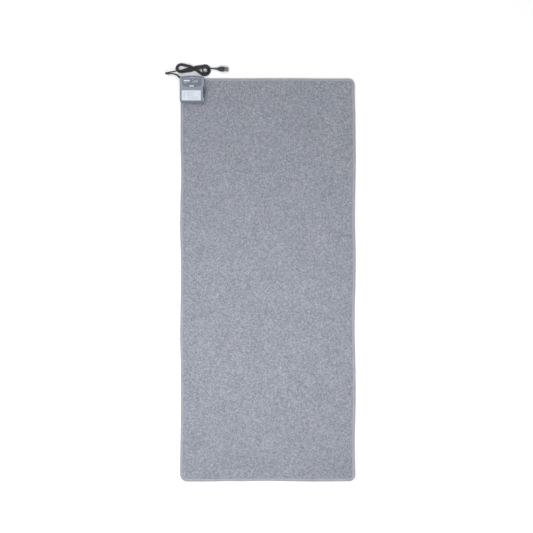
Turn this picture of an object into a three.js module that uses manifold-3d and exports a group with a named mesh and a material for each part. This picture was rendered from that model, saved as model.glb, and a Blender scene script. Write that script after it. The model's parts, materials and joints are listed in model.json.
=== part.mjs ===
// Electric heating mat: a two-part folding carpet with a heating wire laid inside, a corner
// controller with a sliding temperature knob, and a short mains lead tied in a figure of eight.
//
// Millimetres, +Z up. The mat lies on z = 0 with its length along Y, and the controller sits on
// its head end, at the left. Sizes below are measured from the middle of the mat; the whole
// object is shifted at the end, so that its origin is the bottom centre of its own box.

import * as THREE from 'three';
import { mergeVertices } from 'three/addons/utils/BufferGeometryUtils.js';
import Module from 'manifold-3d';

const wasm = await Module();
wasm.setup();

// ---------------------------------------------------------------------------------------------
// Driving dimensions
// ---------------------------------------------------------------------------------------------

// Clearance between pieces that touch on the real object.
const GAP = 0.3;

// How far a cutter runs past what it cuts: a little, or right off the object.
const PAST = 1;
const FAR_PAST = 20;

// Mat
const MAT_WIDTH = 780;
const MAT_LENGTH = 1800;
const MAT_CORNER = 28;
const FOLD_GAP = 1;
const FELT_THICKNESS = 3;
const SHIELD_THICKNESS = 0.4;
const PILE_THICKNESS = 3.2;
const BINDING_WIDTH = 11;
const BINDING_THICKNESS = 1;

// Heating wire
const WIRE_RADIUS = 1.1;
const WIRE_MARGIN = 35;
const WIRE_ROWS_PER_HALF = 13;
const WIRE_BEND = 15;
const WIRE_RAMP = 6;
const WIRE_RAMP_STEP = 2.5;
const WIRE_RAMP_LIFT = 1.3;

// Controller case
const CASE_WIDTH = 109;
const CASE_LENGTH = 112;
const CASE_ARCH = 6;
const CASE_HEIGHT = 30;
const CASE_CORNER = 6;
const CASE_EDGE = 3;
const CASE_OVERHANG_SIDE = 2.4;
const CASE_OVERHANG_HEAD = 5;
const CASE_WALL = 2;
const CASE_ROOF = 2.6;
const PILE_TUCK = 9;

// Case furniture
const PANEL_WIDTH = 83.6;
const PANEL_SIDE = 23;
const PANEL_DROP = 14;
const PANEL_MARGIN = 9.8;
const PANEL_THICKNESS = 0.8;
const PANEL_RECESS = 1.6;
const PANEL_CURVE_STEPS = 24;
const LABEL_WIDTH = 85.4;
const LABEL_LENGTH = 45.4;
const LABEL_THICKNESS = 0.2;
const LABEL_RECESS = 0.4;
const LABEL_MARGIN = 5.7;
const LABEL_SHIFT = 2.9;
const LENS_WIDTH = 20;
const LENS_LENGTH = 5;
const LENS_SHIFT = 1.6;
const LENS_DROP = 9;
const LENS_FLANGE = 1.5;
const LENS_PROUD = 0.3;
const LED_RADIUS = 2.5;
const LED_RIM = 0.4;
const LED_BELOW_LENS = 2;
const RATING_WIDTH = 60;
const RATING_LENGTH = 35;
const RATING_SHIFT = 6;
const RATING_RECESS = 0.6;
const RATING_SINK = 0.1;

// Sliding temperature control
const SLIDE_TRAVEL = 32;
const SLIDE_END_SPARE = 4;
const SLIDE_FROM_POST = 1.5;
const SWITCH_WIDTH = 9.5;
const SWITCH_LIP = 4.5;
const SWITCH_INSET = 1;
const SLOT_DEPTH = 5;
const SLOT_SPARE = 0.5;
const LEVER_REACH = 1.7;
const STEM_WIDTH = 5;
const STEM_THICKNESS = 2.4;
const KNOB_WIDTH = 10;
const KNOB_REACH = 3.4;
const KNOB_ABOVE_BEZEL = 1;
const KNOB_BELOW_TOP = 4;
const BEZEL_DEPTH = 5.5;
const BEZEL_SPARE = 7;
const BEZEL_BOTTOM = 13;
const BEZEL_FLANGE = 2.5;
const BEZEL_SINK = 0.4;
const BEZEL_BELOW_TOP = 0.6;

// Circuit board
const BOARD_THICKNESS = 1.6;
const BOARD_HEIGHT = 12;
const BOARD_LEFT_MARGIN = 6;
const BOARD_RIGHT_MARGIN = 8.5;
const BOARD_FOOT_MARGIN = 22;
const BOARD_HEAD_MARGIN = 26;
const STANDOFF_RADIUS = 3;
const ROOF_CLEARANCE = 2.5;

// Components, from the board's left or right edge and from its foot or head edge
const HEATSINK = {
  left: 14, foot: 4, width: 28, depth: 8.5, back: 2, fins: 5, finPitch: 6, fin: 1.5, finInset: 1,
};
const TRIAC = { aside: 8, width: 10, body: 4.5, tab: 1.3, tabRise: 3 };
const CHIP = { left: 16, foot: 30, width: 10, length: 7, height: 3 };
const FILM_CAPACITOR = { right: 36, foot: 27, width: 18, length: 7 };
const ROUND_CAPACITOR = { left: 40, foot: 26, radius: 5 };
const FUSE = { right: 38, head: 8, lift: 3.2, cap: 3.1, glass: 2.6, capLength: 5, length: 20 };
const TERMINALS = { left: 40, width: 16, head: 1.5, length: 8.5, below: 2 };

// Screws
const CASE_SCREW_RADIUS = 1.5;
const CASE_SCREW_HEAD = 3;
const CASE_SCREW_FROM_ROOF = 8;
const CASE_SCREW_SINK = 0.4;
const CASE_SCREW_SEAT = 2.3;
const CASE_POST_RADIUS = 4.5;
const CASE_POST_MARGIN = 15;
const SMALL_SCREW_RADIUS = 1.2;
const SMALL_SCREW_HEAD = 2.3;
const SMALL_SCREW_RISE = 1.6;
const BOARD_SCREW_TIP = 5;
const CLAMP_SCREW_TIP = 4;

// Mains lead
const CORD_RADIUS = 3.2;
const RELIEF_REACH = 16;
const RELIEF_NECK = 4.2;
const RELIEF_FLANGE = 5.6;
const RELIEF_FLANGE_THICKNESS = 2.4;
const RELIEF_COLLAR = 5.2;
const RELIEF_TIP = 3.4;
const SADDLE_SPARE = 4;
const RELIEF_ANGLE = THREE.MathUtils.degToRad(143);
const CLAMP_WIDTH = 8;
const CLAMP_BRIDGE = 2.6;
const CORE_RADIUS = 0.9;
const CORE_SPACING = 2.5;
const HANK_HEIGHT = 13;
const TIE_WIDTH = 6;
const TIE_THICKNESS = 1.2;
const PLUG_LENGTH = 44;
const PLUG_WIDTH = 22;
const PLUG_HEIGHT = 16;
const PLUG_EDGE = 3;
const PLUG_SHOULDER = 7;
const PLUG_NECK = [3.3, 4.6, 6.2];
const PLUG_TURN = THREE.MathUtils.degToRad(-3);
const BLADE_LENGTH = 16.5;
const BLADE_WIDTH = 6.3;
const BLADE_THICKNESS = 1.5;
const BLADE_SPACING = 12.7;
const COVER_WALL = 1;
const COVER_PAST_BLADE = 1.8;
const COVER_RISE = 2.4;

// ---------------------------------------------------------------------------------------------
// Places worked out from them
// ---------------------------------------------------------------------------------------------

const HALF_WIDTH = MAT_WIDTH / 2;
const HALF_LENGTH = MAT_LENGTH / 2;

const SHIELD_BOTTOM = FELT_THICKNESS + GAP;
const SHIELD_TOP = SHIELD_BOTTOM + SHIELD_THICKNESS;
const WIRE_HEIGHT = SHIELD_TOP + GAP + WIRE_RADIUS;
const PILE_BOTTOM = WIRE_HEIGHT + WIRE_RADIUS + GAP;
const PILE_TOP = PILE_BOTTOM + PILE_THICKNESS;
const MAT_TOP = PILE_TOP + GAP;
const LAYER_INSET = BINDING_THICKNESS + GAP;
const FLUSH_INSET = BINDING_WIDTH + GAP;

const CASE_LEFT = -HALF_WIDTH - CASE_OVERHANG_SIDE;
const CASE_RIGHT = CASE_LEFT + CASE_WIDTH;
const CASE_HEAD = HALF_LENGTH + CASE_OVERHANG_HEAD;
const CASE_FOOT = CASE_HEAD - CASE_LENGTH;
const CASE_MIDDLE = CASE_LEFT + CASE_WIDTH / 2;
const CASE_SPLIT = PILE_TOP;
const ROOF_BOTTOM = CASE_HEIGHT - CASE_ROOF;
const NOTCH_GAP = 2 * GAP;

const PANEL_FLOOR = CASE_HEIGHT - PANEL_RECESS;
const PANEL_TOP = CASE_HEAD - PANEL_MARGIN;
const LENS_X = CASE_MIDDLE - LENS_SHIFT;
const LENS_Y = PANEL_TOP - PANEL_SIDE - LENS_DROP;

// The switch starts just past the case's post at the foot end.
const STEM_SWEEP = SLIDE_TRAVEL / 2 + STEM_WIDTH / 2;
const SWITCH_HALF = STEM_SWEEP + SLIDE_END_SPARE;
const POST_END = CASE_FOOT + CASE_POST_MARGIN + CASE_POST_RADIUS;
const SLIDE_Y = POST_END + SLIDE_FROM_POST + SWITCH_HALF;
const SLIDE_HEIGHT = (BEZEL_BOTTOM + CASE_HEIGHT) / 2 - 2;
const BEZEL_HALF = STEM_SWEEP + BEZEL_SPARE;

const BOARD_TOP = BOARD_HEIGHT + BOARD_THICKNESS;
const BOARD = {
  left: CASE_LEFT + BOARD_LEFT_MARGIN,
  right: CASE_RIGHT - BOARD_RIGHT_MARGIN,
  foot: CASE_FOOT + BOARD_FOOT_MARGIN,
  head: CASE_HEAD - BOARD_HEAD_MARGIN,
};
const ON_BOARD = BOARD_TOP + GAP;
const TERMINAL_LEFT = BOARD.left + TERMINALS.left;
// Tall components stop short of the roof, and the lens hangs from it over the lamp.
const TALL_TOP = ROOF_BOTTOM - ROOF_CLEARANCE;
const LENS_BOTTOM = ROOF_BOTTOM - GAP - LENS_FLANGE;

const CASE_SCREW_TIP = ROOF_BOTTOM - CASE_SCREW_FROM_ROOF;

const CASE_SCREWS = [
  [CASE_LEFT + 9.5, CASE_FOOT + CASE_POST_MARGIN],
  [CASE_RIGHT - CASE_POST_MARGIN, CASE_FOOT + CASE_POST_MARGIN],
  [CASE_LEFT + 46, CASE_HEAD - 5],
  [CASE_RIGHT - CASE_POST_MARGIN, CASE_HEAD - 7],
];
const STANDOFFS = [
  [BOARD.left + 5, BOARD.foot + 5],
  [BOARD.right - 8, BOARD.foot + 5],
  [BOARD.left + 5, BOARD.head - 5],
  [BOARD.right - 8, BOARD.head - 5],
];
const BOARD_SCREWS = [STANDOFFS[0], STANDOFFS[3]];

// The lead leaves through the head corner of the case, on the parting line.
const CORD_HEIGHT = CASE_SPLIT + GAP / 2;
const RELIEF_AXIS = new THREE.Vector3(Math.cos(RELIEF_ANGLE), Math.sin(RELIEF_ANGLE), 0);
const RELIEF_ROOT = new THREE.Vector3(CASE_LEFT + CASE_CORNER, CASE_HEAD - CASE_CORNER, CORD_HEIGHT)
  .addScaledVector(RELIEF_AXIS, CASE_CORNER);
const RELIEF_INNER = -10.5;
const CLAMP_X = CASE_LEFT + 28.4;
const CLAMP_Y = BOARD.head + 12;
const CLAMP_REACH = 11;
const CLAMP_SCREW_SPACING = 15;

// Where the wire's two ends come up to the board.
const WIRE_START_X = BOARD.right - 18;
const WIRE_START_Y = BOARD.foot + 16;
const WIRE_END_Y = BOARD.foot + 5;

// ---------------------------------------------------------------------------------------------
// Geometry helpers
// ---------------------------------------------------------------------------------------------

const at = (x, y, z = 0) => new THREE.Vector3(x, y, z);

/** A solid that can be joined and cut, from any closed geometry. */
function toSolid(geometry) {
  const bare = geometry.clone();
  bare.deleteAttribute('normal');
  bare.deleteAttribute('uv');
  const merged = mergeVertices(bare, 1e-4);
  return new wasm.Manifold(new wasm.Mesh({
    numProp: 3,
    vertProperties: new Float32Array(merged.attributes.position.array),
    triVerts: new Uint32Array(merged.index.array),
  }));
}

function toGeometry(solid) {
  const mesh = solid.getMesh();
  const geometry = new THREE.BufferGeometry();
  geometry.setAttribute('position', new THREE.BufferAttribute(mesh.vertProperties, 3));
  geometry.setIndex(new THREE.BufferAttribute(mesh.triVerts, 1));
  geometry.computeVertexNormals();
  return geometry;
}

/** base with the geometries in add joined to it, and then those in cut taken out of it. */
function shaped(base, { add = [], cut = [] }) {
  let solid = toSolid(base);
  for (const piece of add) {
    solid = solid.add(toSolid(piece));
  }
  for (const piece of cut) {
    solid = solid.subtract(toSolid(piece));
  }
  return toGeometry(solid);
}

function plate(shape, bottom, top, curveSegments = 5) {
  const options = { depth: top - bottom, bevelEnabled: false, curveSegments };
  return new THREE.ExtrudeGeometry(shape, options).translate(0, 0, bottom);
}

function block(left, right, near, far, bottom, top) {
  const box = new THREE.BoxGeometry(right - left, far - near, top - bottom);
  return box.translate((left + right) / 2, (near + far) / 2, (bottom + top) / 2);
}

/** A round solid about a vertical axis through x, y, from [radius, height] points. */
function turned(x, y, profile, sides = 12) {
  const points = profile.map(([radius, height]) => new THREE.Vector2(radius, height));
  return new THREE.LatheGeometry(points, sides).rotateX(Math.PI / 2).translate(x, y, 0);
}

function rod(x, y, radius, bottom, top, sides = 12) {
  return turned(x, y, [[0, bottom], [radius, bottom], [radius, top], [0, top]], sides);
}

/** The same kind of solid about a level axis that starts at root and runs along direction. */
function turnedAlong(root, direction, profile, sides = 16) {
  const level = turned(0, 0, profile, sides);
  const turn = new THREE.Quaternion().setFromUnitVectors(at(0, 0, 1), direction);
  return level.applyQuaternion(turn).translate(root.x, root.y, root.z);
}

/** A path that goes straight from each listed point to the next. */
class RoutePath extends THREE.Curve {
  constructor(points) {
    super();
    this.points = points;
  }

  getPoint(t, target = new THREE.Vector3()) {
    const along = t * (this.points.length - 1);
    const index = Math.min(Math.floor(along), this.points.length - 2);
    return target.lerpVectors(this.points[index], this.points[index + 1], along - index);
  }

  getPointAt(u, target) {
    return this.getPoint(u, target);
  }

  getTangentAt(u, target = new THREE.Vector3()) {
    const last = this.points.length - 1;
    const index = Math.round(u * last);
    const here = this.points[index];
    const before = this.points[Math.max(index - 1, 0)];
    const after = this.points[Math.min(index + 1, last)];
    const arriving = here.clone().sub(before).normalize();
    const leaving = after.clone().sub(here).normalize();
    return target.copy(arriving).add(leaving).normalize();
  }
}

function roundSection(radius, sides) {
  const section = new THREE.Shape();
  for (let side = 0; side < sides; side += 1) {
    const angle = (2 * Math.PI * side) / sides;
    const corner = [radius * Math.cos(angle), radius * Math.sin(angle)];
    if (side === 0) {
      section.moveTo(...corner);
    } else {
      section.lineTo(...corner);
    }
  }
  section.closePath();
  return section;
}

function tube(path, radius, sides, steps) {
  const options = { steps, bevelEnabled: false, extrudePath: path };
  return new THREE.ExtrudeGeometry(roundSection(radius, sides), options);
}

/** A wire through listed points, with straight stretches between them. */
function wire(points, radius, sides = 6) {
  return tube(new RoutePath(points), radius, sides, points.length - 1);
}

/** The points of a wire that turns each listed corner in a round bend. */
function withBends(corners, bend, stepsPerBend = 2) {
  const points = [corners[0]];
  for (let index = 1; index < corners.length - 1; index += 1) {
    const corner = corners[index];
    const back = corners[index - 1].clone().sub(corner).setLength(bend).add(corner);
    const ahead = corners[index + 1].clone().sub(corner).setLength(bend).add(corner);
    const arc = new THREE.QuadraticBezierCurve3(back, corner, ahead);
    points.push(...arc.getPoints(stepsPerBend));
  }
  points.push(corners[corners.length - 1]);
  return points;
}

// ---------------------------------------------------------------------------------------------
// The parts
// ---------------------------------------------------------------------------------------------

const model = new THREE.Group();

/** The finishes, by name: colour, roughness and metalness. */
const FINISHES = {
  felt: [0x6f7278, 1, 0],
  carpet: [0x9b9eaa, 1, 0],
  tape: [0xb0b3bb, 0.95, 0],
  foil: [0xc9ccd0, 0.35, 0.9],
  wire: [0xb4473a, 0.6, 0],
  slate: [0x8c939f, 0.5, 0],
  panel: [0x7d828c, 0.45, 0],
  black: [0x22242a, 0.55, 0],
  paper: [0xe2e6ee, 0.6, 0],
  lens: [0xd8dde8, 0.2, 0],
  board: [0x2f6b45, 0.6, 0],
  steel: [0xb8bbc0, 0.35, 1],
  brass: [0xc7a867, 0.3, 1],
  clear: [0xc8cdd2, 0.2, 0],
};

function addPart(name, finish, geometry, parent = model) {
  const [color, roughness, metalness] = FINISHES[finish];
  const mesh = new THREE.Mesh(
    geometry,
    new THREE.MeshStandardMaterial({ color, roughness, metalness }),
  );
  mesh.name = name;
  parent.add(mesh);
  return mesh;
}

// --- Mat -------------------------------------------------------------------------------------

/**
 * One half of the mat's outline, drawn in by inset from the bound edges. side is 1 for the head
 * half and -1 for the foot half. past runs it over the fold line.
 */
function halfOutline(side, inset, past = 0) {
  const x = HALF_WIDTH - inset;
  const end = side * (HALF_LENGTH - inset);
  const fold = side * (FOLD_GAP / 2 - past);
  const radius = Math.max(MAT_CORNER - inset, 1);
  const outline = new THREE.Shape();
  outline.moveTo(-x, fold);
  outline.lineTo(x, fold);
  outline.lineTo(x, end - side * radius);
  outline.absarc(x - radius, end - side * radius, radius, 0, side * Math.PI / 2, side < 0);
  outline.absarc(-x + radius, end - side * radius, radius, side * Math.PI / 2, Math.PI, side < 0);
  outline.closePath();
  return outline;
}

/** A box that takes the controller's corner out of a mat layer, tucked in under the case. */
function caseNotch(tuck) {
  return block(
    CASE_LEFT - FAR_PAST, CASE_RIGHT + NOTCH_GAP - tuck,
    CASE_FOOT - NOTCH_GAP + tuck, CASE_HEAD + FAR_PAST,
    -PAST, CASE_HEIGHT,
  );
}

/** A ring round the edge, which lets the binding lie flush with the fabric. */
function edgeRebate(side, bottom, top) {
  const ring = plate(halfOutline(side, -FAR_PAST), bottom, top);
  const inside = plate(halfOutline(side, FLUSH_INSET, PAST), bottom - PAST, top + PAST);
  return shaped(ring, { cut: [inside] });
}

function feltBacking(side) {
  const sheet = plate(halfOutline(side, LAYER_INSET), 0, FELT_THICKNESS);
  const cut = [edgeRebate(side, -PAST, BINDING_THICKNESS + GAP)];
  return shaped(sheet, { cut: side > 0 ? [...cut, caseNotch(0)] : cut });
}

function heatShield(side) {
  const sheet = plate(halfOutline(side, FLUSH_INSET + GAP), SHIELD_BOTTOM, SHIELD_TOP);
  return shaped(sheet, { cut: side > 0 ? [caseNotch(0)] : [] });
}

function pileFabric(side) {
  const sheet = plate(halfOutline(side, LAYER_INSET), PILE_BOTTOM, PILE_TOP);
  const rebateBottom = MAT_TOP - BINDING_THICKNESS - GAP;
  const cut = [edgeRebate(side, rebateBottom, MAT_TOP + PAST)];
  return shaped(sheet, { cut: side > 0 ? [...cut, caseNotch(PILE_TUCK + NOTCH_GAP)] : cut });
}

/** The tape round one half: a C section, open towards the middle of the mat. */
function bindingTape(side) {
  const outer = plate(halfOutline(side, 0), 0, MAT_TOP);
  const hollow = plate(
    halfOutline(side, BINDING_THICKNESS, PAST), BINDING_THICKNESS, MAT_TOP - BINDING_THICKNESS,
  );
  const middle = plate(halfOutline(side, BINDING_WIDTH, PAST), -PAST, MAT_TOP + PAST);
  return shaped(outer, { cut: [hollow, middle] });
}

/** The heating wire's corners, from the case to the fold on one side, and beyond it. */
function wireRows() {
  const right = HALF_WIDTH - WIRE_MARGIN;
  const left = -right;
  const top = HALF_LENGTH - WIRE_MARGIN;
  const pitch = top / (WIRE_ROWS_PER_HALF - 0.5);
  const besideCase = CASE_RIGHT + WIRE_MARGIN;
  const inFromReturn = left + WIRE_MARGIN;
  const rows = [];
  for (let row = 0; row < 2 * WIRE_ROWS_PER_HALF; row += 1) {
    const y = top - row * pitch;
    const nearCase = y > CASE_FOOT - Math.max(WIRE_MARGIN, pitch);
    const rowLeft = nearCase ? besideCase : inFromReturn;
    const ends = [at(rowLeft, y, WIRE_HEIGHT), at(right, y, WIRE_HEIGHT)];
    rows.push(row % 2 === 0 ? ends : ends.reverse());
  }
  return { rows, left, right };
}

function addHeatingWire() {
  const { rows, left, right } = wireRows();
  const rise = BOARD_HEIGHT - GAP;
  const fold = FOLD_GAP / 2;
  const leadIn = [
    at(WIRE_START_X, WIRE_START_Y, rise),
    at(WIRE_START_X, WIRE_START_Y, rise - WIRE_RAMP_STEP),
    at(WIRE_START_X + WIRE_RAMP_STEP, WIRE_START_Y, WIRE_HEIGHT + WIRE_RAMP_LIFT),
    at(WIRE_START_X + WIRE_RAMP, WIRE_START_Y, WIRE_HEIGHT),
  ];
  const headCorners = [
    leadIn[3],
    at(CASE_RIGHT + WIRE_MARGIN / 2, WIRE_START_Y, WIRE_HEIGHT),
    at(CASE_RIGHT + WIRE_MARGIN / 2, rows[0][0].y, WIRE_HEIGHT),
    ...rows.slice(0, WIRE_ROWS_PER_HALF).flat().slice(1),
    at(right, fold, WIRE_HEIGHT),
  ];
  const footCorners = [
    at(right, -fold, WIRE_HEIGHT),
    ...rows.slice(WIRE_ROWS_PER_HALF).flat(),
  ];
  footCorners[footCorners.length - 1].setX(left);
  footCorners.push(at(left, -fold, WIRE_HEIGHT));
  const back = [
    at(left, fold, WIRE_HEIGHT),
    at(left, WIRE_END_Y - WIRE_RAMP, WIRE_HEIGHT),
    at(left, WIRE_END_Y - WIRE_RAMP_STEP, WIRE_HEIGHT + WIRE_RAMP_LIFT),
    at(left, WIRE_END_Y, rise - WIRE_RAMP_STEP),
    at(left, WIRE_END_Y, rise),
  ];
  const head = [...leadIn.slice(0, 3), ...withBends(headCorners, WIRE_BEND)];
  addPart('heating_wire_head', 'wire', wire(head, WIRE_RADIUS));
  addPart('heating_wire_return_head', 'wire', wire(back, WIRE_RADIUS));
  addPart('heating_wire_foot', 'wire', wire(withBends(footCorners, WIRE_BEND), WIRE_RADIUS));
}

function addMat() {
  addPart('felt_backing_head', 'felt', feltBacking(1));
  addPart('felt_backing_foot', 'felt', feltBacking(-1));
  addPart('heat_shield_head', 'foil', heatShield(1));
  addPart('heat_shield_foot', 'foil', heatShield(-1));
  addPart('pile_fabric_head', 'carpet', pileFabric(1));
  addPart('pile_fabric_foot', 'carpet', pileFabric(-1));

  const tape = bindingTape(1);
  const beyond = Math.max(HALF_LENGTH, HALF_WIDTH) + FAR_PAST;
  const leftOfCase = block(-beyond, CASE_RIGHT + NOTCH_GAP, -PAST, beyond, -PAST, CASE_HEIGHT);
  const besideOrAboveCase = [
    block(CASE_RIGHT + NOTCH_GAP, beyond, -PAST, beyond, -PAST, CASE_HEIGHT),
    block(-beyond, beyond, CASE_FOOT - NOTCH_GAP, beyond, -PAST, CASE_HEIGHT),
  ];
  addPart('binding_head_left', 'tape', shaped(tape, { cut: besideOrAboveCase }));
  addPart('binding_head_corner', 'tape', shaped(tape, { cut: [leftOfCase] }));
  addPart('binding_foot', 'tape', bindingTape(-1));
}

// --- Controller case -------------------------------------------------------------------------

/** The case's outline, with its bowed head edge, drawn in by inset. */
function caseOutline(inset) {
  const left = CASE_LEFT + inset;
  const right = CASE_RIGHT - inset;
  const foot = CASE_FOOT + inset;
  const head = CASE_HEAD - inset;
  const corner = Math.max(CASE_CORNER - inset, 1);
  const bow = (CASE_WIDTH ** 2 / 4 + CASE_ARCH ** 2) / (2 * CASE_ARCH);
  const bowY = CASE_HEAD + CASE_ARCH - bow;
  const bowAngle = Math.acos((right - corner - CASE_MIDDLE) / (bow - inset));
  const bowEnd = bowY + (bow - inset) * Math.sin(bowAngle);
  const outline = new THREE.Shape();
  outline.moveTo(left + corner, foot);
  outline.lineTo(right - corner, foot);
  outline.quadraticCurveTo(right, foot, right, foot + corner);
  outline.lineTo(right, head - corner);
  outline.quadraticCurveTo(right, head, right - corner, bowEnd);
  outline.absarc(CASE_MIDDLE, bowY, bow - inset, bowAngle, Math.PI - bowAngle, false);
  outline.quadraticCurveTo(left, head, left, head - corner);
  outline.lineTo(left, foot + corner);
  outline.quadraticCurveTo(left, foot, left + corner, foot);
  return outline;
}

/** The recessed panel's outline: straight head edge and sides, and an elliptical foot edge. */
function panelOutline(inset) {
  const half = PANEL_WIDTH / 2 - inset;
  const side = PANEL_TOP - PANEL_SIDE;
  const outline = new THREE.Shape();
  outline.moveTo(CASE_MIDDLE + half, PANEL_TOP - inset);
  outline.lineTo(CASE_MIDDLE - half, PANEL_TOP - inset);
  outline.lineTo(CASE_MIDDLE - half, side);
  outline.absellipse(CASE_MIDDLE, side, half, PANEL_DROP - inset, Math.PI, 2 * Math.PI, false);
  outline.closePath();
  return outline;
}

function reliefHole(spare) {
  const radius = RELIEF_NECK + spare;
  const reach = CASE_CORNER + RELIEF_FLANGE_THICKNESS;
  const profile = [[0, -reach], [radius, -reach], [radius, reach], [0, reach]];
  return turnedAlong(RELIEF_ROOT, RELIEF_AXIS, profile, 16);
}

function lensHole(spare, bottom, top) {
  return block(
    LENS_X - LENS_WIDTH / 2 - spare, LENS_X + LENS_WIDTH / 2 + spare,
    LENS_Y - LENS_LENGTH / 2 - spare, LENS_Y + LENS_LENGTH / 2 + spare,
    bottom, top,
  );
}

function labelBox(spare, bottom, top) {
  const left = CASE_MIDDLE - LABEL_WIDTH / 2 - LABEL_SHIFT;
  const foot = CASE_FOOT + LABEL_MARGIN;
  return block(
    left - spare, left + LABEL_WIDTH + spare, foot - spare, foot + LABEL_LENGTH + spare,
    bottom, top,
  );
}

function ratingBox(spare, bottom, top) {
  const y = CASE_FOOT + CASE_LENGTH / 2 + RATING_SHIFT;
  return block(
    CASE_MIDDLE - RATING_WIDTH / 2 - spare, CASE_MIDDLE + RATING_WIDTH / 2 + spare,
    y - RATING_LENGTH / 2 - spare, y + RATING_LENGTH / 2 + spare,
    bottom, top,
  );
}

function bezelBox(bottom, top) {
  return block(
    CASE_RIGHT - BEZEL_DEPTH, CASE_RIGHT + PAST,
    SLIDE_Y - BEZEL_HALF, SLIDE_Y + BEZEL_HALF,
    bottom, top,
  );
}

/** The block of the lower case that the strain relief's neck lies in. */
function reliefSaddle() {
  const half = RELIEF_NECK + SADDLE_SPARE / 2;
  const inner = RELIEF_INNER + RELIEF_FLANGE_THICKNESS + GAP;
  const saddle = block(inner, -SADDLE_SPARE, -half, half, CASE_WALL - PAST, CASE_SPLIT);
  return saddle.rotateZ(RELIEF_ANGLE).translate(RELIEF_ROOT.x, RELIEF_ROOT.y, 0);
}

function lowerCase() {
  const shell = shaped(plate(caseOutline(0), 0, CASE_SPLIT), {
    cut: [plate(caseOutline(CASE_WALL), CASE_WALL, CASE_SPLIT + PAST)],
  });
  const floor = CASE_WALL - PAST;
  const underPile = PILE_BOTTOM - GAP;
  const wireBottom = WIRE_HEIGHT - WIRE_RADIUS - GAP;
  const wireSpare = WIRE_RADIUS + GAP;
  const edge = CASE_CORNER + PAST;
  const matLeft = -HALF_WIDTH - GAP;
  const matHead = HALF_LENGTH + GAP;
  const wireEnd = -HALF_WIDTH + WIRE_MARGIN;
  const screwBores = CASE_SCREWS.flatMap(([x, y]) => [
    rod(x, y, CASE_SCREW_HEAD + GAP, -PAST, CASE_SCREW_SEAT),
    rod(x, y, CASE_SCREW_RADIUS + GAP, -PAST, CASE_SPLIT + PAST),
  ]);
  const smallBore = SMALL_SCREW_RADIUS + GAP;
  const boardBores = BOARD_SCREWS.map(
    ([x, y]) => rod(x, y, smallBore, BOARD_SCREW_TIP - PAST, BOARD_TOP),
  );
  const clampY = [CLAMP_Y - CLAMP_SCREW_SPACING / 2, CLAMP_Y + CLAMP_SCREW_SPACING / 2];
  return shaped(shell, {
    add: [
      ...CASE_SCREWS.map(([x, y]) => rod(x, y, CASE_POST_RADIUS, floor, CASE_SPLIT, 16)),
      ...STANDOFFS.map(([x, y]) => rod(x, y, STANDOFF_RADIUS, floor, BOARD_HEIGHT - GAP)),
      ...clampY.map((y) => rod(CLAMP_X, y, STANDOFF_RADIUS, floor, CASE_SPLIT - GAP)),
      reliefSaddle(),
    ],
    cut: [
      block(
        matLeft, CASE_RIGHT + PAST, CASE_FOOT - PAST, CASE_FOOT + edge,
        underPile, CASE_SPLIT + PAST,
      ),
      block(
        CASE_RIGHT - edge, CASE_RIGHT + PAST, CASE_FOOT - PAST, matHead,
        underPile, CASE_SPLIT + PAST,
      ),
      block(
        CASE_RIGHT - edge, CASE_RIGHT + PAST, WIRE_START_Y - wireSpare, WIRE_START_Y + wireSpare,
        wireBottom, CASE_SPLIT,
      ),
      block(
        wireEnd - wireSpare, wireEnd + wireSpare, CASE_FOOT - PAST, CASE_FOOT + edge,
        wireBottom, CASE_SPLIT,
      ),
      ratingBox(GAP, -PAST, RATING_RECESS),
      reliefHole(GAP),
      ...screwBores,
      ...boardBores,
      ...clampY.map((y) => rod(CLAMP_X, y, smallBore, CLAMP_SCREW_TIP - PAST, CASE_SPLIT)),
    ],
  });
}

function upperCase() {
  const rounded = new THREE.ExtrudeGeometry(caseOutline(0), {
    depth: CASE_HEIGHT - 2 * CASE_EDGE,
    bevelThickness: CASE_EDGE,
    bevelSize: CASE_EDGE,
    bevelOffset: -CASE_EDGE,
    bevelSegments: 2,
    curveSegments: 5,
  }).translate(0, 0, CASE_EDGE);
  const shell = shaped(rounded, {
    cut: [
      block(
        CASE_LEFT - PAST, CASE_RIGHT + PAST, CASE_FOOT - PAST, CASE_HEAD + CASE_ARCH + PAST,
        -PAST, MAT_TOP,
      ),
      plate(caseOutline(CASE_WALL), 0, ROOF_BOTTOM),
    ],
  });
  const boreTop = CASE_SCREW_TIP + 2 * PAST;
  return shaped(shell, {
    add: CASE_SCREWS.map(
      ([x, y]) => rod(x, y, CASE_POST_RADIUS, MAT_TOP, ROOF_BOTTOM + PAST, 16),
    ),
    cut: [
      ...CASE_SCREWS.map(
        ([x, y]) => rod(x, y, CASE_SCREW_RADIUS + GAP, MAT_TOP - PAST, boreTop),
      ),
      plate(panelOutline(-GAP), PANEL_FLOOR, CASE_HEIGHT + PAST, PANEL_CURVE_STEPS),
      labelBox(GAP, CASE_HEIGHT - LABEL_RECESS, CASE_HEIGHT + PAST),
      lensHole(GAP, ROOF_BOTTOM - PAST, CASE_HEIGHT + PAST),
      bezelBox(BEZEL_BOTTOM, CASE_HEIGHT + PAST),
      reliefHole(GAP),
    ],
  });
}

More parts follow.
